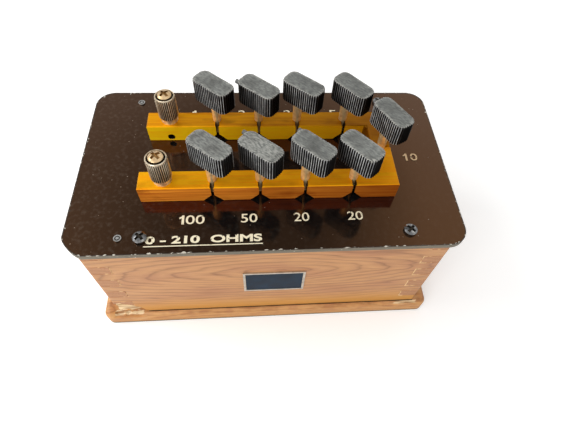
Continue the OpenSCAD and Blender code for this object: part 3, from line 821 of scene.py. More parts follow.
def make_piece(
    bm: Mesh,
    name: str,
    body: str,
    finishes: list[Finish],
    stands_for: tuple[str, ...] = (),
    sharp: float = 32.0,
) -> None:
    """Finish a mesh as a piece of the object.

    Args:
        bm: The mesh, in millimetres.
        name: Name of the piece.
        body: Body that the piece rides on.
        finishes: Finishes in the order of the faces' material numbers.
        stands_for: CAD nodes that the piece replaces.
        sharp: Angle in degrees above which an edge stays sharp.
    """
    bmesh.ops.scale(bm, vec=(MM,) * 3, verts=bm.verts)
    mesh = bpy.data.meshes.new(name)
    bm.to_mesh(mesh)
    bm.free()
    if "custom_normal" in mesh.attributes:
        mesh.attributes.remove(mesh.attributes["custom_normal"])
    for finish in finishes:
        mesh.materials.append(finish.material())
    mesh.shade_smooth()
    mesh.set_sharp_from_angle(angle=math.radians(sharp))
    made = bpy.data.objects.new(name, mesh)
    bpy.context.scene.collection.objects.link(made)
    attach(made, body)
    if stands_for:
        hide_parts(*stands_for)
    LOG.info("piece %s on %s: %d faces", name, body, len(mesh.polygons))


def dress_node(node: str, finish: Finish) -> None:
    """Give a CAD node that stays a finish.

    Args:
        node: Name of the CAD node.
        finish: Its finish.
    """
    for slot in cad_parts[node].material_slots:
        slot.material = finish.material()
    LOG.info("node %s in %s", node, finish.name)


@dataclass
class CrossHeads:
    """Screws or posts with cross heads, with dirt and painted shade in their recesses."""

    node: str
    name: str
    slot: str
    metal: Finish
    dirt_and_shade: Finish
    places: tuple[Pair, ...]
    reach: float
    floor_gap: float = 0.2
    rim: float = 0.15

    def build(self) -> None:
        """Copy the screws and dress their recesses."""
        bm = merged_copy(self.node)
        floor = frame_top("top_panel") + self.floor_gap
        top = frame_top(self.node) - self.rim
        for face in bm.faces:
            middle = face.calc_center_median()
            near = min((middle.xy - Vector(place)).length for place in self.places)
            flat = face.normal.z > 0.999 or abs(face.normal.z) < 0.05
            # Flat faces inside the cross recesses get the finish of dirt and painted shade
            face.material_index = int(flat and near < self.reach and floor < middle.z < top)
        make_piece(bm, self.name, "case", [self.metal, self.dirt_and_shade], (self.node,))


@dataclass
class WoodenCase:
    """Finger-jointed case, base board and the bare plate on the front."""

    corner_round: float = 1.5
    filler_w: float = 0.3
    joint_clear: float = 0.1
    joint_off: float = 0.5
    foot_gap: float = 0.55
    cut_clear: float = 0.2
    break_left: float = -100.5
    break_right: float = -76.0
    break_step: float = 1.0
    break_back: float = 7.0
    break_fade: Pair = (5.0, 8.0)
    break_drop: float = 1.5
    break_in: float = 1.3
    break_lip: float = 3.0
    gouge_height: float = 13.0
    gouge_depth: float = 3.6
    gouge_step: float = 0.7
    gouge_back: float = 5.0
    gouge_back_step: float = 2.5
    gouge_slope: float = 1.4
    gouge_over: float = 2.5
    gouge_jag: float = 2.4
    edge_round: float = 3.0
    edge_wear: float = 0.48
    sole: float = 1.5
    strip_left: float = 80.0
    strip_right: float = 97.0
    strip_step: float = 4.0
    strip_wear: float = 0.72
    # Width, spacing, middle and reach of the dark seam of dirt and painted shade along the front wall's foot
    seam_w: float = 0.55
    seam_step: float = 3.0
    seam_middle: float = -12.0
    seam_reach: float = 30.0

    @cached_property
    def half(self) -> Pair:
        """Half of the case's width and of its depth."""
        return (frame_half("front_wall", 0), frame_half("left_wall", 1))

    def gaps(self, place: Vector) -> Pair:
        """Give how far a place lies inside the case's ends and inside its long sides."""
        return (self.half[0] - abs(place.x), self.half[1] - abs(place.y))

    def build(self) -> None:
        """Build and dress the walls, the base board and the plate."""
        for wall, grain, finish in (
            ("front_wall", Vector((1, 0, 0)), LONG_WOOD), ("rear_wall", Vector((1, 0, 0)), LONG_WOOD),
            ("left_wall", Vector((0, 1, 0)), SHORT_WOOD), ("right_wall", Vector((0, 1, 0)), SHORT_WOOD),
        ):
            self.build_wall(wall, grain, finish)
        self.build_base()
        self.build_plate()
        dress_node("base_screws", STEEL)

    def build_wall(self, node: str, grain: Vector, finish: Finish) -> None:
        """Round a wall's outer corners, give its ends their end grain and fill its joints.

        Args:
            node: The wall's CAD node.
            grain: Way that the grain runs.
            finish: Finish of the wall's long faces.
        """
        finishes = [finish, END_WOOD, FILLER, FOOT_SEAM_DIRT_AND_SHADE, LONG_WOOD]
        bm = merged_copy(node)
        low, high = (v.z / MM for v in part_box(node))
        corners = [
            e for e in bm.edges
            if all(abs(gap) < NEAR for v in e.verts for gap in self.gaps(v.co))
            and (e.verts[0].co - e.verts[1].co).xy.length < NEAR
        ]
        bevel_edges(bm, corners, self.corner_round, 3)
        for face in bm.faces:
            is_end = abs(face.normal.dot(grain)) > 0.8
            face.material_index = finishes.index(END_WOOD) if is_end else 0
        joints = [e for e in bm.edges if self.is_joint(e, low, high)]
        bevel_edges(bm, joints, self.filler_w, 1, finishes.index(FILLER))
        # The outer foot edges get a narrow bevel in the dark seam of dirt and painted shade
        feet = [
            e for e in bm.edges
            if all(v.co.z < low + NEAR for v in e.verts) and len(e.link_faces) == 2
            and any(f.normal.z > -0.5 and self.is_outer(f.calc_center_median()) for f in e.link_faces)
        ]
        bevel_edges(bm, feet, self.foot_gap, 1, finishes.index(FOOT_SEAM_DIRT_AND_SHADE))
        if node in ("front_wall", "left_wall"):
            self.gouge(bm, Vector((-self.half[0], -self.half[1], low)), finishes.index(LONG_WOOD))
        make_piece(bm, "case_" + node, "case", finishes, (node,))

    def is_outer(self, place: Vector) -> bool:
        """Tell whether a place lies on the outside of the case."""
        return min(self.gaps(place)) < self.corner_round

    def is_joint(self, edge: bmesh.types.BMEdge, low: float, high: float) -> bool:
        """Tell whether an edge belongs to a finger, on the outside and clear of the top and the foot.

        Args:
            edge: An edge of a wall.
            low: Height of the wall's foot.
            high: Height of its top.

        Returns:
            True for such an edge that is level, and for an upright one that is away from the corner.
        """
        for vert in edge.verts:
            gaps = self.gaps(vert.co)
            outer = min(gaps) < NEAR or max(gaps) < self.corner_round + NEAR
            if not outer or not low + self.joint_clear < vert.co.z < high - self.joint_clear:
                return False
        first, second = (v.co for v in edge.verts)
        level = abs(first.z - second.z) < NEAR
        return level or max(self.gaps(first)) > self.corner_round + self.joint_off

    @staticmethod
    def cut(bm: Mesh, axis: int, place: float) -> None:
        """Cut a mesh across an axis.

        Args:
            bm: The mesh.
            axis: The axis.
            place: Place of the cut on the axis.
        """
        across = Vector([float(k == axis) for k in range(3)])
        geom = bm.verts[:] + bm.edges[:] + bm.faces[:]
        bmesh.ops.bisect_plane(bm, geom=geom, dist=1e-4, plane_co=across * place, plane_no=across)

    def slices(self, bm: Mesh, axis: int, start: float, end: float, step: float) -> None:
        """Cut a mesh into slices, so that its surface can be broken.

        Args:
            bm: The mesh.
            axis: Axis across which the slices lie.
            start: Place of the first cut.
            end: Place that the last cut doesn't pass.
            step: Distance between cuts.
        """
        for k in range(int((end - start) / step) + 1):
            self.cut(bm, axis, start + k * step)

    def gouge(self, bm: Mesh, corner: Vector, broken: int) -> None:
        """Break the wood away in splinters at the front left corner of the case's foot.

        Args:
            bm: Mesh of a wall at that corner.
            corner: The corner's foot.
            broken: Material number of the broken wood.
        """
        wear = bm.verts.layers.float.new("wear")
        behind = corner.y + self.corner_round + self.cut_clear
        over = corner.z + self.gouge_height + self.gouge_over
        self.slices(bm, 0, corner.x + self.break_step, self.break_right + self.break_step, self.break_step)
        self.slices(bm, 1, behind, corner.y + self.gouge_back, self.gouge_back_step)
        self.slices(bm, 2, corner.z + self.gouge_step, over, self.gouge_step)
        for vert in bm.verts:
            along = (vert.co.x - corner.x) / (self.break_right - corner.x)
            rise = vert.co.z - corner.z
            jag = self.gouge_jag * noise.noise(Vector((vert.co.x * 0.3, 3.0, 0.0)))
            reach = self.gouge_height * (1.0 - along * along) + jag
            bite = min(1.0, max(0.0, (reach - rise) / self.gouge_slope))
            splinter = 0.7 + 0.6 * noise.noise(Vector((vert.co.x * 0.05, 7.0, rise * 0.42)))
            floor = corner.y + self.gouge_depth * bite * splinter
            if along < 1.0 and bite > 0.0 and vert.co.y <= floor:
                vert.co.y = floor
                # The rim gets a painted shadow, and the floor is bare wood
                vert[wear] = -1.0 if bite < 0.9 else 0.3 + 0.7 * splinter
        for face in bm.faces:
            if all(v[wear] for v in face.verts):
                face.material_index = broken

    def build_base(self) -> None:
        """Give the base board its worn varnish, a sole band of dirt and painted shadow, nicked edge and
        broken corner.
        """
        finishes = [BASE_WOOD, SOLE_DIRT_AND_SHADOW, FOOT_SEAM_DIRT_AND_SHADE]
        bm = merged_copy("base_board")
        wear = bm.verts.layers.float.new("wear")
        low, high = (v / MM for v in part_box("base_board"))
        sole = low.z + self.sole
        self.cut(bm, 2, sole)
        for face in bm.faces:
            in_sole_band = abs(face.normal.z) < 0.5 and face.calc_center_median().z < sole
            face.material_index = finishes.index(SOLE_DIRT_AND_SHADOW) if in_sole_band else 0
        self.slices(bm, 0, self.break_left, self.break_right, self.break_step)
        self.cut(bm, 1, low.y + self.break_back + self.cut_clear)
        self.slices(bm, 0, self.strip_left, self.strip_right, self.strip_step)
        for vert in bm.verts:
            lift = (vert.co.z - high.z + self.edge_round) / self.edge_round
            vert[wear] = self.edge_wear * max(0.0, 1.0 - abs(2.0 * lift - 1.0))
            in_strip = self.strip_left < vert.co.x < self.strip_right and vert.co.y < low.y + self.edge_round
            if in_strip and 0.7 < lift < 0.99:
                vert[wear] = self.strip_wear
            from_left = (vert.co.x - self.break_left) / self.break_fade[0]
            from_right = (self.break_right - vert.co.x) / self.break_fade[1]
            along = min(from_left, from_right)
            if along <= 0.0 or lift <= 0.0 or vert.co.y > low.y + self.break_back:
                continue
            jag = 1.0 + 0.7 * noise.noise(Vector((vert.co.x * 0.43, 0.0, 8.0)))
            bite = min(1.0, along) * jag
            vert.co.z -= self.break_drop * bite * min(1.0, lift)
            vert.co.y += self.break_in * bite * max(0.0, 1.0 - (vert.co.y - low.y) / self.break_lip)
            vert[wear] = (0.3 + 0.4 * lift) * jag * min(1.0, 2.0 * along)
        self.paint_foot_seam(bm, high.z, finishes.index(FOOT_SEAM_DIRT_AND_SHADE))
        make_piece(bm, "case_base_board", "case", finishes, ("base_board",))

    def paint_foot_seam(self, bm: Mesh, top: float, dirt_and_shade: int) -> None:
        """Lay a wavering dark line of dirt and painted shade on the base board along the foot of the front
        wall.

        Args:
            bm: The base board's mesh.
            top: Height of its upper face.
            dirt_and_shade: Material number of the dirt and painted shade.
        """
        right, depth = self.half
        wall = -depth
        edge = wall - self.seam_w
        upper = top - 0.5
        self.cut(bm, 1, edge)
        self.cut(bm, 1, wall)
        self.slices(bm, 0, self.break_right + self.seam_step, right, self.seam_step)
        for face in bm.faces:
            middle = face.calc_center_median()
            if edge < middle.y < wall and self.break_right < middle.x < right and middle.z > upper:
                face.material_index = dirt_and_shade
        for vert in bm.verts:
            if abs(vert.co.y - edge) < NEAR and vert.co.z > upper:
                swell = math.exp(-((vert.co.x - self.seam_middle) / self.seam_reach) ** 2)
                waver = noise.noise(Vector((vert.co.x * 0.09, 5.0, 2.0)))
                vert.co.y = wall - self.seam_w * max(0.2, 0.3 + 0.6 * swell + 0.4 * waver)

    def build_plate(self) -> None:
        """Give the plate a bright rim and an enamelled bare field."""
        bm = merged_copy("name_plate")
        front = min(v.co.y for v in bm.verts)
        for face in bm.faces:
            inside = face.normal.y < -0.9 and face.calc_center_median().y > front + 0.05
            face.material_index = int(inside)
        make_piece(bm, "case_bare_plate", "case", [PLATE_METAL, ENAMEL], ("name_plate",))


@dataclass
class Panel:
    """Polished sheet with its screws, pins, printed numbers and underlined label."""

    corner: float = 10.5
    corner_steps: int = 16
    corner_wear: float = 0.55
    corner_slope: float = 1.77
    edge_cuts: int = 219
    arris: float = 0.45
    arris_drop: float = 0.12
    chip: float = 2.0
    chip_fall: float = 0.5
    chip_rate: float = 0.55
    chip_seed: int = 11
    front_from: float = -54.0
    front_whole: float = 0.12
    other_whole: float = 0.36
    ink_rise: float = 0.03
    numbers: tuple[tuple[str, float, float, float], ...] = (
        ("100", -39.8, -37.9, 12.6), ("50", -11.0, -37.7, 8.4), ("20", 16.0, -37.8, 8.0),
        ("20", 44.2, -37.8, 8.2), ("1", 79.8, 1.9, 2.8), ("0", 84.7, 1.9, 4.2),
        ("1", -42.8, 38.5, 2.8), ("2", -14.5, 38.5, 4.4), ("2", 13.1, 38.5, 4.4), ("5", 41.2, 38.5, 4.4),
    )
    number_height: float = 5.3
    dull_from: float = 70.0
    one_width: float = 2.4
    one_space: float = 0.8
    label: str = "0 - 210  OHMS"
    label_place: Pair = (-33.2, -49.4)
    label_size: Pair = (57.0, 4.4)
    label_weight: float = 0.034
    line_place: Pair = (-33.3, -52.9)
    line_size: Pair = (57.8, 0.55)
    line_round: float = 0.15
    screws: tuple[Pair, ...] = ((-64.3, -47.9), (71.7, -47.9), (71.7, 47.9))
    screw_reach: float = 2.6
    pins: tuple[Pair, ...] = ((-74.9, -47.9), (-74.9, 47.9))
    pin_reach: float = 1.45

    def build(self) -> None:
        """Build the sheet and its print, and dress its fixings."""
        low, high = ([c / MM for c in corner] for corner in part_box("top_panel"))
        self.build_sheet(low, high)
        top = high[2]
        for count, (words, x, y, width) in enumerate(self.numbers):
            ink = DULL_INK if x > self.dull_from else INK
            if words[0] == "1":
                bm = self.flagged_one((x - width / 2, y, top))
                make_piece(bm, f"print_one_{count + 1}", "case", [ink])
                taken = self.one_width + self.one_space
                words, x, width = words[1:], x + taken / 2, width - taken
            if words:
                bm = self.letters(words, (x, y, top), (width, self.number_height))
                make_piece(bm, f"print_number_{count + 1}", "case", [ink])
        bm = self.letters(self.label, (*self.label_place, top), self.label_size, self.label_weight)
        make_piece(bm, "print_label", "case", [INK])
        self.build_underline(top)
        for fixings in (
            CrossHeads(
                "panel_screws", "steel_panel_screws", "black_steel", BLACK_STEEL, RECESS_DIRT_AND_SHADE,
                self.screws, self.screw_reach,
            ),
            CrossHeads(
                "panel_pins", "steel_panel_pins", "bright_steel", STEEL, RECESS_DIRT_AND_SHADE, self.pins, self.pin_reach
            ),
        ):
            fixings.build()

    def build_sheet(self, low: list[float], high: list[float]) -> None:
        """Build the sheet with a chipped arris and a front left corner that is worn flat.

        Args:
            low: Lowest corner of the sheet.
            high: Highest corner of the sheet.
        """
        finishes = [PANEL_FACE, PANEL_EDGE, PANEL_ARRIS]
        bm = bmesh.new()
        wear = bm.verts.layers.float.new("wear")
        bmesh.ops.create_grid(bm, x_segments=1, y_segments=1, size=0.5)
        bmesh.ops.scale(bm, vec=(high[0] - low[0], high[1] - low[1], 1.0), verts=bm.verts)
        bmesh.ops.bevel(
            bm, geom=bm.verts[:], offset=self.corner, segments=self.corner_steps, profile=0.5,
            affect="VERTICES", material=-1,
        )
        for vert in bm.verts:
            past = low[0] + low[1] + self.corner - vert.co.x - vert.co.y
            if past > 0.0:
                vert.co.xy += Vector((0.5, 0.5)) * past * self.corner_wear
        long_edges = [e for e in bm.edges if e.calc_length() > 2 * self.corner]
        bmesh.ops.subdivide_edges(bm, edges=long_edges, cuts=self.edge_cuts)
        bmesh.ops.translate(bm, vec=(0, 0, low[2]), verts=bm.verts)
        outline = verts_in(bmesh.ops.extrude_face_region(bm, geom=bm.faces[:])["geom"])
        bmesh.ops.translate(bm, vec=(0, 0, high[2] - low[2]), verts=outline)
        bmesh.ops.recalc_face_normals(bm, faces=bm.faces)
        for face in bm.faces:
            face.material_index = finishes.index(PANEL_EDGE)
        top = [f for f in bm.faces if f.normal.z > 0.9]
        ring = bmesh.ops.inset_region(bm, faces=top, thickness=self.arris, use_even_offset=True)["faces"]
        for face in ring:
            face.material_index = finishes.index(PANEL_ARRIS)
        for face in top:
            face.material_index = finishes.index(PANEL_FACE)
        for vert in outline:
            bite = self.bite(vert.co)
            vert.co.z -= self.arris_drop + self.chip_fall * self.chip * bite
            vert[wear] = bite
        for vert in {v for f in top for v in f.verts}:
            bite = self.bite(vert.co)
            axis = int(abs(vert.co.x) <= abs(vert.co.y) * self.corner_slope)
            vert.co[axis] -= math.copysign(self.chip * bite, vert.co[axis])
            vert[wear] = bite
        make_piece(bm, "panel_sheet", "case", finishes, ("top_panel",), sharp=8.0)

    def bite(self, place: Vector) -> float:
        """Give how deep the edge is chipped at a place, from 0 to about 0.5; the front is chipped most."""
        whole = self.front_whole if place.y < self.front_from else self.other_whole
        return max(0.0, noise.noise(Vector((place.x, place.y, self.chip_seed)) * self.chip_rate) - whole)

    def letters(self, words: str, centre: Triple, extent: Pair, weight: float = 0.006) -> Mesh:
        """Make thin printed letters that fill a given width and height.

        Args:
            words: What is printed.
            centre: Middle of the print on the panel.
            extent: Width and height of the print.
            weight: How far the strokes are thickened.

        Returns:
            The letters' mesh.
        """
        curve = bpy.data.curves.new("letters", "FONT")
        curve.body = words
        curve.offset = weight
        curve.extrude = 0.01
        curve.resolution_u = 5
        holder = bpy.data.objects.new("letters", curve)
        bpy.context.scene.collection.objects.link(holder)
        ready = holder.evaluated_get(bpy.context.evaluated_depsgraph_get())
        flat = bpy.data.meshes.new_from_object(ready)
        bpy.data.objects.remove(holder)
        bpy.data.curves.remove(curve)
        bm = bmesh.new()
        bm.from_mesh(flat)
        bpy.data.meshes.remove(flat)
        bmesh.ops.remove_doubles(bm, verts=bm.verts, dist=1e-5)
        low = Vector([min(v.co[k] for v in bm.verts) for k in range(3)])
        high = Vector([max(v.co[k] for v in bm.verts) for k in range(3)])
        size = high - low
        grown = (extent[0] / size.x, extent[1] / size.y, self.ink_rise / size.z)
        bmesh.ops.translate(bm, vec=-(low + high) / 2, verts=bm.verts)
        bmesh.ops.scale(bm, vec=grown, verts=bm.verts)
        bmesh.ops.translate(bm, vec=(centre[0], centre[1], centre[2] + self.ink_rise / 2), verts=bm.verts)
        return bm

    def flagged_one(self, place: Triple) -> Mesh:
        """Make a printed figure one with a slanted flag.

        Args:
            place: Left end of the figure, at half of its height on the panel.

        Returns:
            The figure's mesh.
        """
        bm = bmesh.new()
        # Middle and size of the stem and of the flag, as shares of the figure's width and height
        for middle, size in (((0.75, 0.0, 0.0), (0.5, 1.0)), ((0.25, 0.3, 0.0), (0.5, 0.2))):
            bar = bmesh.ops.create_grid(bm, x_segments=1, y_segments=1, size=0.5)["verts"]
            placed = Matrix.Translation(middle) @ Matrix.Diagonal((*size, 1, 1))
            bmesh.ops.transform(bm, matrix=placed, verts=bar)
        bmesh.ops.translate(bm, vec=(0, -0.12, 0), verts=[v for v in bar if v.co.x < 0.25])
        raised = verts_in(bmesh.ops.extrude_face_region(bm, geom=bm.faces[:])["geom"])
        bmesh.ops.translate(bm, vec=(0, 0, self.ink_rise), verts=raised)
        bmesh.ops.scale(bm, vec=(self.one_width, self.number_height, 1.0), verts=bm.verts)
        bmesh.ops.translate(bm, vec=place, verts=bm.verts)
        bmesh.ops.recalc_face_normals(bm, faces=bm.faces)
        return bm

    def build_underline(self, top: float) -> None:
        """Print the line under the label.

        Args:
            top: Height of the panel's face.
        """
        bm = bmesh.new()
        bmesh.ops.create_cube(bm, size=1.0)
        bmesh.ops.scale(bm, vec=(*self.line_size, self.ink_rise), verts=bm.verts)
        bmesh.ops.translate(bm, vec=(*self.line_place, top + self.ink_rise / 2), verts=bm.verts)
        ends = [e for e in bm.edges if abs(e.verts[0].co.z - e.verts[1].co.z) > self.ink_rise / 2]
        bevel_edges(bm, ends, self.line_round, 2)
        make_piece(bm, "print_underline", "case", [INK])


@dataclass
class Blocks:
    """Two rows of brass blocks."""

    count: int = 5
    lead_hole: Pair = (-54.0, 92.7)
    hole_reach: float = 2.1
    gap_reach: float = 52.0
    highlight_edge: float = 0.35

    def build(self) -> None:
        """Build the blocks of both rows, with differently aged tops and with fronts in painted light and
        shade.
        """
        for row, top, front in ((Row.FRONT, BRASS, PAINTED_SHADE_FRONT_BRASS), (Row.REAR, REAR_BRASS, PAINTED_LIGHT_FRONT_BRASS)):
            for k in range(1, self.count + 1):
                self.build_block(row, k, [top, front, RECESS_DIRT_AND_SHADE, PAINTED_SHADE_GAP_BRASS, PAINTED_HIGHLIGHT_EDGE_BRASS])

    def build_block(self, row: Row, number: int, finishes: list[Finish]) -> None:
        """Build a block with a painted highlight on its front edge, painted shade on its ends in the gaps
        and, in the rear row, dirt and painted shade in its lead hole.

        Args:
            row: The block's row.
            number: Its number in the row, from the left.
            finishes: Finishes of its top, front, lead hole, gaps and front edge.
        """
        node = f"{row.value}_block_{number}"
        bm = merged_copy(node)
        for face in bm.faces:
            middle = face.calc_center_median()
            from_hole = (middle.xz - Vector(self.lead_hole)).length
            # Block ends that face the gaps get painted shade
            if abs(face.normal.x) > 0.5 and abs(middle.x) < self.gap_reach:
                finish = PAINTED_SHADE_GAP_BRASS
            # The rear row's lead hole gets the near-black finish of dirt and painted shade
            elif row is Row.REAR and abs(face.normal.y) < 0.1 and from_hole < self.hole_reach:
                finish = RECESS_DIRT_AND_SHADE
            else:
                # Faces turned to the front take a colour of their own, which paints the light and shade on
                # them
                finish = finishes[int(face.normal.y < -0.9)]
            face.material_index = finishes.index(finish)
        # The front top edges are bevelled and given a pale painted highlight
        rubbed = [
            e for e in bm.edges
            if len(e.link_faces) == 2 and max(f.normal.z for f in e.link_faces) > 0.9
            and min(f.normal.y for f in e.link_faces) < -0.9
        ]
        bevel_edges(bm, rubbed, self.highlight_edge, 2, finishes.index(PAINTED_HIGHLIGHT_EDGE_BRASS))
        make_piece(bm, "brass_" + node, "case", finishes, (node,))


@dataclass
class Plug:
    """Taper plug: a turned pin and a ribbed head that sits a little off it."""

    gap: str
    turn: float
    shift: Pair
    # Share of each side, from its right end, whose ribs keep the pale painted highlight
    rubbed: float = 0.9
    stub: float = 0.0
    stub_off: float = 0.0
    chipped: Pair | None = None
    paled: float = 0.0
    length: float = 22.8
    width: float = 11.4
    height: float = 12.8
    corner: float = 3.9
    rib_pitch: float = 1.3
    rib_depth: float = 0.45
    rib_dark: float = 0.36
    end_reach: float = 0.9
    end_fade: float = 0.8
    far_slant: float = 0.3
    far_fade: float = 0.3
    far_dark: float = 0.3
    chip_reach: float = 1.5
    chip_height: float = 1.0
    chip_drop: float = 0.6
    chip_in: float = 0.04
    chip_wear: float = 1.3
    stub_d: float = 2.8
    stub_taper: float = 0.25
    stub_drop: float = 0.02
    tip_r: float = 1.4
    tip_bevel: float = 0.61
    taper_r: float = 2.7
    tang_r: float = 1.8
    pin_steps: int = 64
    finishes: tuple[Finish, ...] = (HEAD_SIDE, HEAD_TOP, HEAD_UNDER)

    def build(self) -> None:
        """Build the turned pin and the head."""
        body, pin, head = (start + self.gap for start in ("plug_", "plug_pin_", "plug_head_"))
        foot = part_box(head)[0].z / MM
        low, high = (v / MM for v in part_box(pin))
        axis = ((low + high) / 2).xy
        bm = self.pin(low.z, foot, high.z)
        bmesh.ops.translate(bm, vec=axis.to_3d(), verts=bm.verts)
        make_piece(bm, "pin_" + self.gap, body, [PIN_BRASS], (pin,))
        centre = axis + Vector(self.shift)
        bm = self.head()
        turned = Matrix.Rotation(math.radians(self.turn), 4, "Z")
        placed = Matrix.Translation((centre.x, centre.y, foot)) @ turned
        bmesh.ops.transform(bm, matrix=placed, verts=bm.verts)
        make_piece(bm, "head_" + self.gap, body, list(self.finishes), (head,), sharp=28.0)

    def pin(self, tip: float, foot: float, top: float) -> Mesh:
        """Turn the pin about its axis: a bevelled tip, the taper and the tang inside the head.

        Args:
            tip: Height of the tip.
            foot: Height of the head's underside.
            top: Height of the tang's end.

        Returns:
            The pin's mesh.
        """
        profile = (
            (0.0, tip), (self.tip_r, tip), (self.tip_r + self.tip_bevel, tip + self.tip_bevel),
            (self.taper_r, foot), (self.tang_r, foot), (self.tang_r, top), (0.0, top),
        )
        bm = bmesh.new()
        verts = [bm.verts.new((reach, 0.0, z)) for reach, z in profile]
        edges = [bm.edges.new(pair) for pair in zip(verts, verts[1:])]
        bmesh.ops.spin(
            bm, geom=verts + edges, cent=(0, 0, 0), axis=(0, 0, 1), angle=math.tau, steps=self.pin_steps,
            use_merge=True,
        )
        bmesh.ops.remove_doubles(bm, verts=bm.verts, dist=1e-4)
        bmesh.ops.recalc_face_normals(bm, faces=bm.faces)
        return bm

    def outline(self, along: float, depth: float) -> Vector:
        """Give a point of the head's outline.

        Args:
            along: Share of the way round the outline, from 0 to 1.
            depth: How far the point is set in.

        Returns:
            The point, on z = 0.
        """
        runs = [self.width - 2 * self.corner, self.length - 2 * self.corner] * 2
        bend = math.pi / 2 * self.corner
        left = along * (sum(runs) + 4 * bend)
        side = 0
        while side < 3 and left >= runs[side] + bend:
            left -= runs[side] + bend
            side += 1
        angle = math.pi / 2 * side
        reach_x, reach_y = self.length / 2 - self.corner, self.width / 2 - self.corner
        corners = [(reach_x, -reach_y), (reach_x, reach_y), (-reach_x, reach_y), (-reach_x, -reach_y)]
        past = max(0.0, left - runs[side])
        centre = Vector(corners[(side + 1) % 4] if past else corners[side])
        if past:
            angle += past / self.corner
        else:
            centre += left * Vector((-math.sin(angle), math.cos(angle)))
        point = centre + (self.corner - depth) * Vector((math.cos(angle), math.sin(angle)))
        return point.to_3d()

    def head(self) -> Mesh:
        """Build the head about its pin, with its underside on z = 0.

        Returns:
            The head's mesh.
        """
        runs = 2 * (self.width + self.length) - 8 * self.corner + math.tau * self.corner
        steps = 2 * round(runs / self.rib_pitch)
        bm = bmesh.new()
        step = bm.verts.layers.int.new("step")
        wear = bm.verts.layers.float.new("wear")
        dirt_and_shade = bm.verts.layers.float.new("groove")
        ring = bmesh.ops.create_circle(bm, cap_ends=True, segments=steps, radius=1.0)["verts"]
        for k, vert in enumerate(ring):
            vert[step] = k
        valley, top = self.rib_depth, self.height
        # Height, how far the ribs are set in, depth of the grooves and the wear that paints a highlight on
        # the rim, from the underside up
        levels = [
            (0.0, valley + 0.25, 0.0, 0.0), (0.3, 0.0, valley, 0.0),
            (top - 1.6, 0.0, valley, 0.0), (top - 0.55, 0.0, valley, 0.1),
            (top - 0.28, 0.03, valley, 0.6), (top - 0.08, 0.3, 0.1, 0.9),
            (top, 0.65, 0.0, 0.5), (top, 2.2, 0.0, 0.0),
        ]
        for count, (z, depth, groove, rub) in enumerate(levels):
            if count:
                cap = [f for f in bm.faces if len(f.verts) == steps and all(v in ring for v in f.verts)]
                ring = verts_in(bmesh.ops.extrude_face_region(bm, geom=cap)["geom"])
                if count > 1:
                    bmesh.ops.delete(bm, geom=cap, context="FACES_ONLY")
            for vert in ring:
                flat = self.outline(vert[step] / steps, depth + groove * (vert[step] % 2))
                vert.co = flat + Vector((0, 0, z))
                vert[wear] = rub
                # The grooves, at odd steps, get black painted shade
                vert[dirt_and_shade] = groove / valley * (vert[step] % 2)
                if z < top - 0.5:
                    vert[dirt_and_shade] = max(vert[dirt_and_shade], self.rib_shade(flat, z, vert[step]))
                elif z == top:
                    vert[wear] = max(rub, self.paled)
                    vert[dirt_and_shade] = DARK_FROM + (DARK_FULL - DARK_FROM) * max(0.0, -self.paled)
                if self.chipped and z > top - self.chip_height:
                    near = 1.0 - (flat.xy - Vector(self.chipped)).length / self.chip_reach
                    if near > 0:
                        vert[wear] = self.chip_wear
                        vert.co.z -= self.chip_drop * near
                        vert.co.xy *= 1.0 - self.chip_in * near
        bmesh.ops.recalc_face_normals(bm, faces=bm.faces)
        bm.normal_update()
        for face in bm.faces:
            finish = HEAD_TOP if face.normal.z > 0.45 else HEAD_SIDE
            if face.normal.z < -0.9:
                finish = HEAD_UNDER
            face.material_index = self.finishes.index(finish)
        if self.stub:
            self.add_stub(bm)
        return bm

    def rib_shade(self, flat: Vector, rise: float, step: int) -> float:
        """Give how black painted shade makes a rib: at the head's ends, more towards the left and the
        underside, and unevenly from rib to rib.

        Args:
            flat: Place on the outline.
            rise: Height above the underside.
            step: Number of the vertex on the outline.

        Returns:
            A value for the attribute groove, from 0, a pale painted highlight, to black.
        """
        end = (abs(flat.x) - self.length / 2 + self.end_reach) / self.end_fade
        along = flat.x / self.length + 0.5
        slant = self.far_slant * (1.0 - rise / self.height)
        far = (1.0 - self.rubbed + slant - along) / self.far_fade
        uneven = 0.5 * noise.noise(Vector((0.8 * step, self.turn, self.shift[0])))
        return max(0.0, DARK_FULL * min(1.0, end), self.far_dark * min(1.0, far), self.rib_dark * uneven)

    def add_stub(self, bm: Mesh) -> None:
        """Add the stub that the moulding left at one end of the head.

        Args:
            bm: The head's mesh.
        """
        radius = self.stub_d / 2
        out = self.corner - self.length / 2 - self.stub / 2
        middle = (out, self.stub_off, self.height - radius - self.stub_drop)
        made = bmesh.ops.create_cone(
            bm, cap_ends=True, segments=20, radius1=radius, radius2=radius - self.stub_taper,
            depth=self.stub + 2 * self.corner,
            matrix=Matrix.Translation(middle) @ Matrix.Rotation(-math.pi / 2, 4, "Y"),
        )["verts"]
        for face in {f for v in made for f in v.link_faces}:
            face.material_index = self.finishes.index(HEAD_TOP)


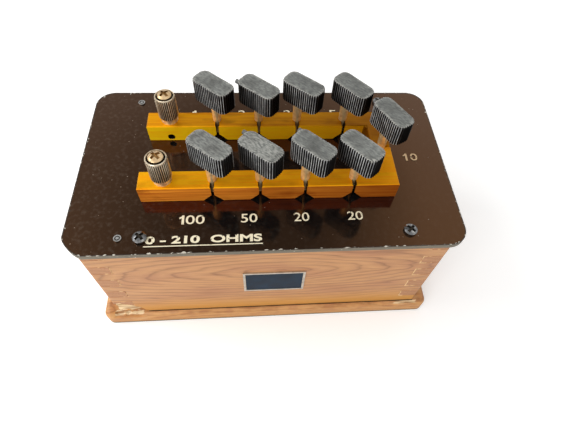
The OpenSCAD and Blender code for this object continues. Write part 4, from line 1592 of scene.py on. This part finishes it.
@dataclass
class Terminal:
    """Terminal: a knurled nut with a recess, and its washer."""

    row: Row
    radius: float = 5.4
    collar: float = 4.3
    collar_height: float = 2.4
    bore: float = 2.05
    recess: float = 4.5
    recess_depth: float = 7.5
    knurls: int = 32
    knurl_depth: float = 0.4

    def axis(self) -> Pair:
        """Find the terminal's axis.

        Returns:
            Its place in the frame.
        """
        low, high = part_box("terminal_nut_" + self.row.value)
        middle = (low + high) / 2 / MM
        return (middle.x, middle.y)

    def build(self) -> None:
        """Build the nut and dress the washer."""
        name = self.row.value
        dress_node("terminal_washer_" + name, NICKEL)
        low, high = (v.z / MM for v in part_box("terminal_nut_" + name))
        bm = self.nut(high - low)
        bmesh.ops.translate(bm, vec=(*self.axis(), low), verts=bm.verts)
        make_piece(
            bm, "knurled_nut_" + name, "nut_" + name, [NICKEL, RECESS_DIRT_AND_SHADE], ("terminal_nut_" + name,),
            sharp=30.0,
        )

    def nut(self, height: float) -> Mesh:
        """Build the nut about its axis, with its underside on z = 0.

        Args:
            height: Height of the nut.

        Returns:
            The nut's mesh.
        """
        plain = self.radius - self.knurl_depth / 2
        foot = self.collar_height
        floor = height - self.recess_depth
        # Height, radius and depth of the knurl's grooves, up the outside and down the recess to the bore
        levels = [
            (0.0, self.collar - 0.2, 0.0), (0.2, self.collar, 0.0), (foot, self.collar, 0.0),
            (foot, self.radius - 0.5, 0.0), (foot + 0.4, self.radius, self.knurl_depth),
            (height - 1.0, self.radius, self.knurl_depth), (height - 0.75, plain - 0.1, 0.0),
            (height - 0.3, plain, 0.0), (height, plain - 0.25, 0.0), (height, self.recess + 0.2, 0.0),
            (height - 0.3, self.recess, 0.0), (floor, self.recess, 0.0), (floor, self.bore, 0.0),
            (0.0, self.bore, 0.0),
        ]
        steps = 2 * self.knurls
        bm = bmesh.new()
        step = bm.verts.layers.int.new("step")
        dirt_and_shade = bm.verts.layers.float.new("groove")
        ring = bmesh.ops.create_circle(bm, cap_ends=False, segments=steps, radius=1.0)["verts"]
        for k, vert in enumerate(ring):
            vert[step] = k
        first = bm.edges[:]
        edges = first
        for count, (z, radius, groove) in enumerate(levels):
            if count:
                grown = bmesh.ops.extrude_edge_only(bm, edges=edges)["geom"]
                ring = verts_in(grown)
                inside = set(ring)
                edges = [e for e in grown if isinstance(e, bmesh.types.BMEdge) and set(e.verts) <= inside]
            for vert in ring:
                angle = math.tau * vert[step] / steps
                reach = radius - groove * (vert[step] % 2)
                vert.co = (reach * math.cos(angle), reach * math.sin(angle), z)
                # Knurl grooves, at odd steps, are marked for dirt and painted shade
                vert[dirt_and_shade] = float(groove > 0 and vert[step] % 2)
        bmesh.ops.bridge_loops(bm, edges=first + edges)
        bmesh.ops.recalc_face_normals(bm, faces=bm.faces)
        # Faces in the nut's recess get the near-black finish of dirt and painted shade
        for face in bm.faces:
            middle = face.calc_center_median()
            face.material_index = int(middle.xy.length < self.recess + 0.05 and middle.z > foot + 0.1)
        return bm


@dataclass
class Coils:
    """Studs, bobbins, windings and wires under the panel."""

    windings: tuple[str, ...] = (
        "front_1", "front_2", "front_3", "front_4", "rear_1", "rear_2", "rear_3", "rear_4", "link",
    )

    def build(self) -> None:
        """Dress every piece under the panel."""
        for node, finish in (
            ("block_studs", HARD_BRASS), ("stud_washers", STEEL), ("solder_tags", STEEL),
            ("stud_nuts", HARD_BRASS), ("bobbins", BOBBIN), ("bobbin_nuts", HARD_BRASS),
            ("coil_leads", COPPER),
        ):
            dress_node(node, finish)
        for name in self.windings:
            dress_node("coil_" + name, WINDING)


@dataclass(frozen=True)
class Lamp:
    """Soft square lamp that points at the box, with its place and width in metres and its power in watts."""

    name: str
    place: Triple
    width: float
    power: float
    aim: Triple = (0.0, 0.0, 0.06)

    def hang(self) -> None:
        """Add the lamp to the scene."""
        data = bpy.data.lights.new(self.name, "AREA")
        data.size = self.width
        data.energy = self.power
        lamp = bpy.data.objects.new(self.name, data)
        away = Vector(self.place) - Vector(self.aim)
        lamp.matrix_world = Matrix.Translation(self.place) @ away.to_track_quat("Z", "Y").to_matrix().to_4x4()
        bpy.context.scene.collection.objects.link(lamp)


@dataclass
class Studio:
    """Pale floor, soft lamps and the camera.

    The focus is in pixels of the picture's width, the angles in degrees and the camera's place in
    millimetres. The dark camera that a mirror sees lies the way of shade.
    """

    focus: float = 425.6
    picture_width: float = 588.0
    sensor: float = 36.0
    pitch: float = 56.83
    yaw: float = 9.09
    roll: float = 6.15
    place: Triple = (-7.0, -158.2, 273.2)
    floor_half: float = 4.0
    floor_lift: float = 0.25
    shade: Triple = (-0.014, 0.526, 0.851)
    shade_level: float = 0.22
    left_mirrored: float = 0.65
    right_light: float = 0.42
    lamps: tuple[Lamp, ...] = (
        Lamp("key", (-0.63, 0.1, 0.61), 0.44, 2.5), Lamp("fill", (-0.55, -0.68, 0.55), 0.55, 2.9),
    )

    def build(self) -> None:
        """Set the camera, the floor, the world and the lamps."""
        bpy.context.scene.view_settings.view_transform = "Standard"
        self.set_camera()
        self.set_floor()
        self.set_world()
        for lamp in self.lamps:
            lamp.hang()

    def set_camera(self) -> None:
        """Stand the camera at the photograph's place."""
        pitch, yaw, roll = (math.radians(a) for a in (self.pitch, self.yaw, self.roll))
        looking = (
            Matrix.Rotation(roll, 3, "Z") @ Matrix.Rotation(pitch + math.pi / 2, 3, "X")
            @ Matrix.Rotation(yaw, 3, "Z")
        )
        axes = Matrix((looking[0], -looking[1], -looking[2])).transposed()
        data = bpy.data.cameras.new("camera")
        data.sensor_width = self.sensor
        data.sensor_fit = "HORIZONTAL"
        data.lens = self.focus / self.picture_width * self.sensor
        data.clip_start = 0.01
        camera = bpy.data.objects.new("camera", data)
        camera.matrix_world = Matrix.Translation([p * MM for p in self.place]) @ axes.to_4x4()
        bpy.context.scene.collection.objects.link(camera)
        bpy.context.scene.camera = camera

    def set_floor(self) -> None:
        """Lay a wide floor of matt white paper, lifted to white where the camera sees it."""
        bm = bmesh.new()
        bmesh.ops.create_grid(bm, x_segments=1, y_segments=1, size=self.floor_half)
        mesh = bpy.data.meshes.new("floor")
        bm.to_mesh(mesh)
        bm.free()
        floor = bpy.data.objects.new("floor", mesh)
        bpy.context.scene.collection.objects.link(floor)
        made = bpy.data.materials.new("matt_white_paper")
        made.use_nodes = True
        tree = made.node_tree
        shader = tree.nodes["Principled BSDF"]
        shader.inputs["Base Color"].default_value = linear("#fdfdfc")
        shader.inputs["Roughness"].default_value = 0.9
        shader.inputs["Specular IOR Level"].default_value = 0.0
        shader.inputs["Emission Color"].default_value = linear("#ffffff")
        seen = add_node(tree, "LightPath").outputs["Is Camera Ray"]
        lift = add_node(tree, "MapRange", {0: seen, 1: 0.0, 2: 1.0, 3: 0.0, 4: self.floor_lift}).outputs[0]
        tree.links.new(lift, shader.inputs["Emission Strength"])
        mesh.materials.append(made)

    def set_world(self) -> None:
        """Light softly from all round, less from the right.

        A mirror sees the room darker to the left, and a dark camera overhead.
        """
        world = bpy.data.worlds.new("studio")
        bpy.context.scene.world = world
        world.use_nodes = True
        tree = world.node_tree
        tree.nodes.clear()
        rays = add_node(tree, "LightPath").outputs
        way = add_node(tree, "TexCoord").outputs["Generated"]
        side = add_node(tree, "SeparateXYZ", {0: way}).outputs[0]
        values = {0: side, 1: -0.45, 2: 0.35, 3: self.left_mirrored, 4: 1.0}
        room = add_node(tree, "MapRange", values).outputs[0]
        toward = add_node(tree, "VectorMath", {0: way, 1: self.shade}, operation="DOT_PRODUCT").outputs[1]
        values = {0: toward, 1: 0.92, 2: 0.99, 3: room, 4: self.shade_level}
        room = add_node(tree, "MapRange", values).outputs[0]
        light = add_node(tree, "MapRange", {0: side, 1: -1.0, 2: 1.0, 3: 1.0, 4: self.right_light}).outputs[0]
        white = linear("#ffffff")
        seen, mirrored, soft = (
            add_node(tree, "Background", {"Color": white, "Strength": strength}).outputs[0]
            for strength in (1.0, room, light)
        )
        values = {0: rays["Is Glossy Ray"], 1: rays["Is Transmission Ray"]}
        shiny = add_node(tree, "Math", values, operation="MAXIMUM").outputs[0]
        mixed = add_node(tree, "MixShader", {0: shiny, 1: soft, 2: mirrored}).outputs[0]
        final = add_node(tree, "MixShader", {0: rays["Is Camera Ray"], 1: mixed, 2: seen}).outputs[0]
        add_node(tree, "OutputWorld", {0: final})


def main() -> None:
    """Set the studio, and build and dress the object."""
    logging.basicConfig(level=logging.INFO, format="%(name)s: %(message)s")
    Studio().build()
    WoodenCase().build()
    Panel().build()
    Blocks().build()
    for plug in (
        Plug("front_1", -39, (1.0, 0.5), paled=0.12),
        Plug("front_2", -41, (0.5, -1.0), 0.5, 1.8, 2.8, paled=0.5),
        Plug("front_3", -43, (2.4, -0.2), 1.1, 0.9, 3.6, paled=-0.12),
        Plug("front_4", -48, (0.0, -0.8), 0.55, chipped=(10.4, -4.7)),
        Plug("rear_1", -41, (0.0, 0.3)),
        Plug("rear_2", -40, (0.3, -2.0), 0.5, 1.1, -3.2),
        Plug("rear_3", -40, (2.5, 0.0), 0.7, chipped=(10.9, 3.4), paled=-0.2),
        Plug("rear_4", -49, (2.2, -1.0), 0.6, paled=-0.2),
        Plug("link", -60, (1.2, 0.0), 1.3, paled=-0.16),
    ):
        plug.build()
    terminals = [Terminal(row) for row in Row]
    axes = tuple(terminal.axis() for terminal in terminals)
    posts = CrossHeads(
        "terminal_posts", "brass_terminal_posts", "pale_brass", POST_BRASS, RECESS_FILM_AND_SHADE_BRASS, axes, reach=2.8
    )
    posts.build()
    for terminal in terminals:
        terminal.build()
    Coils().build()


if __name__ == "__main__":
    main()
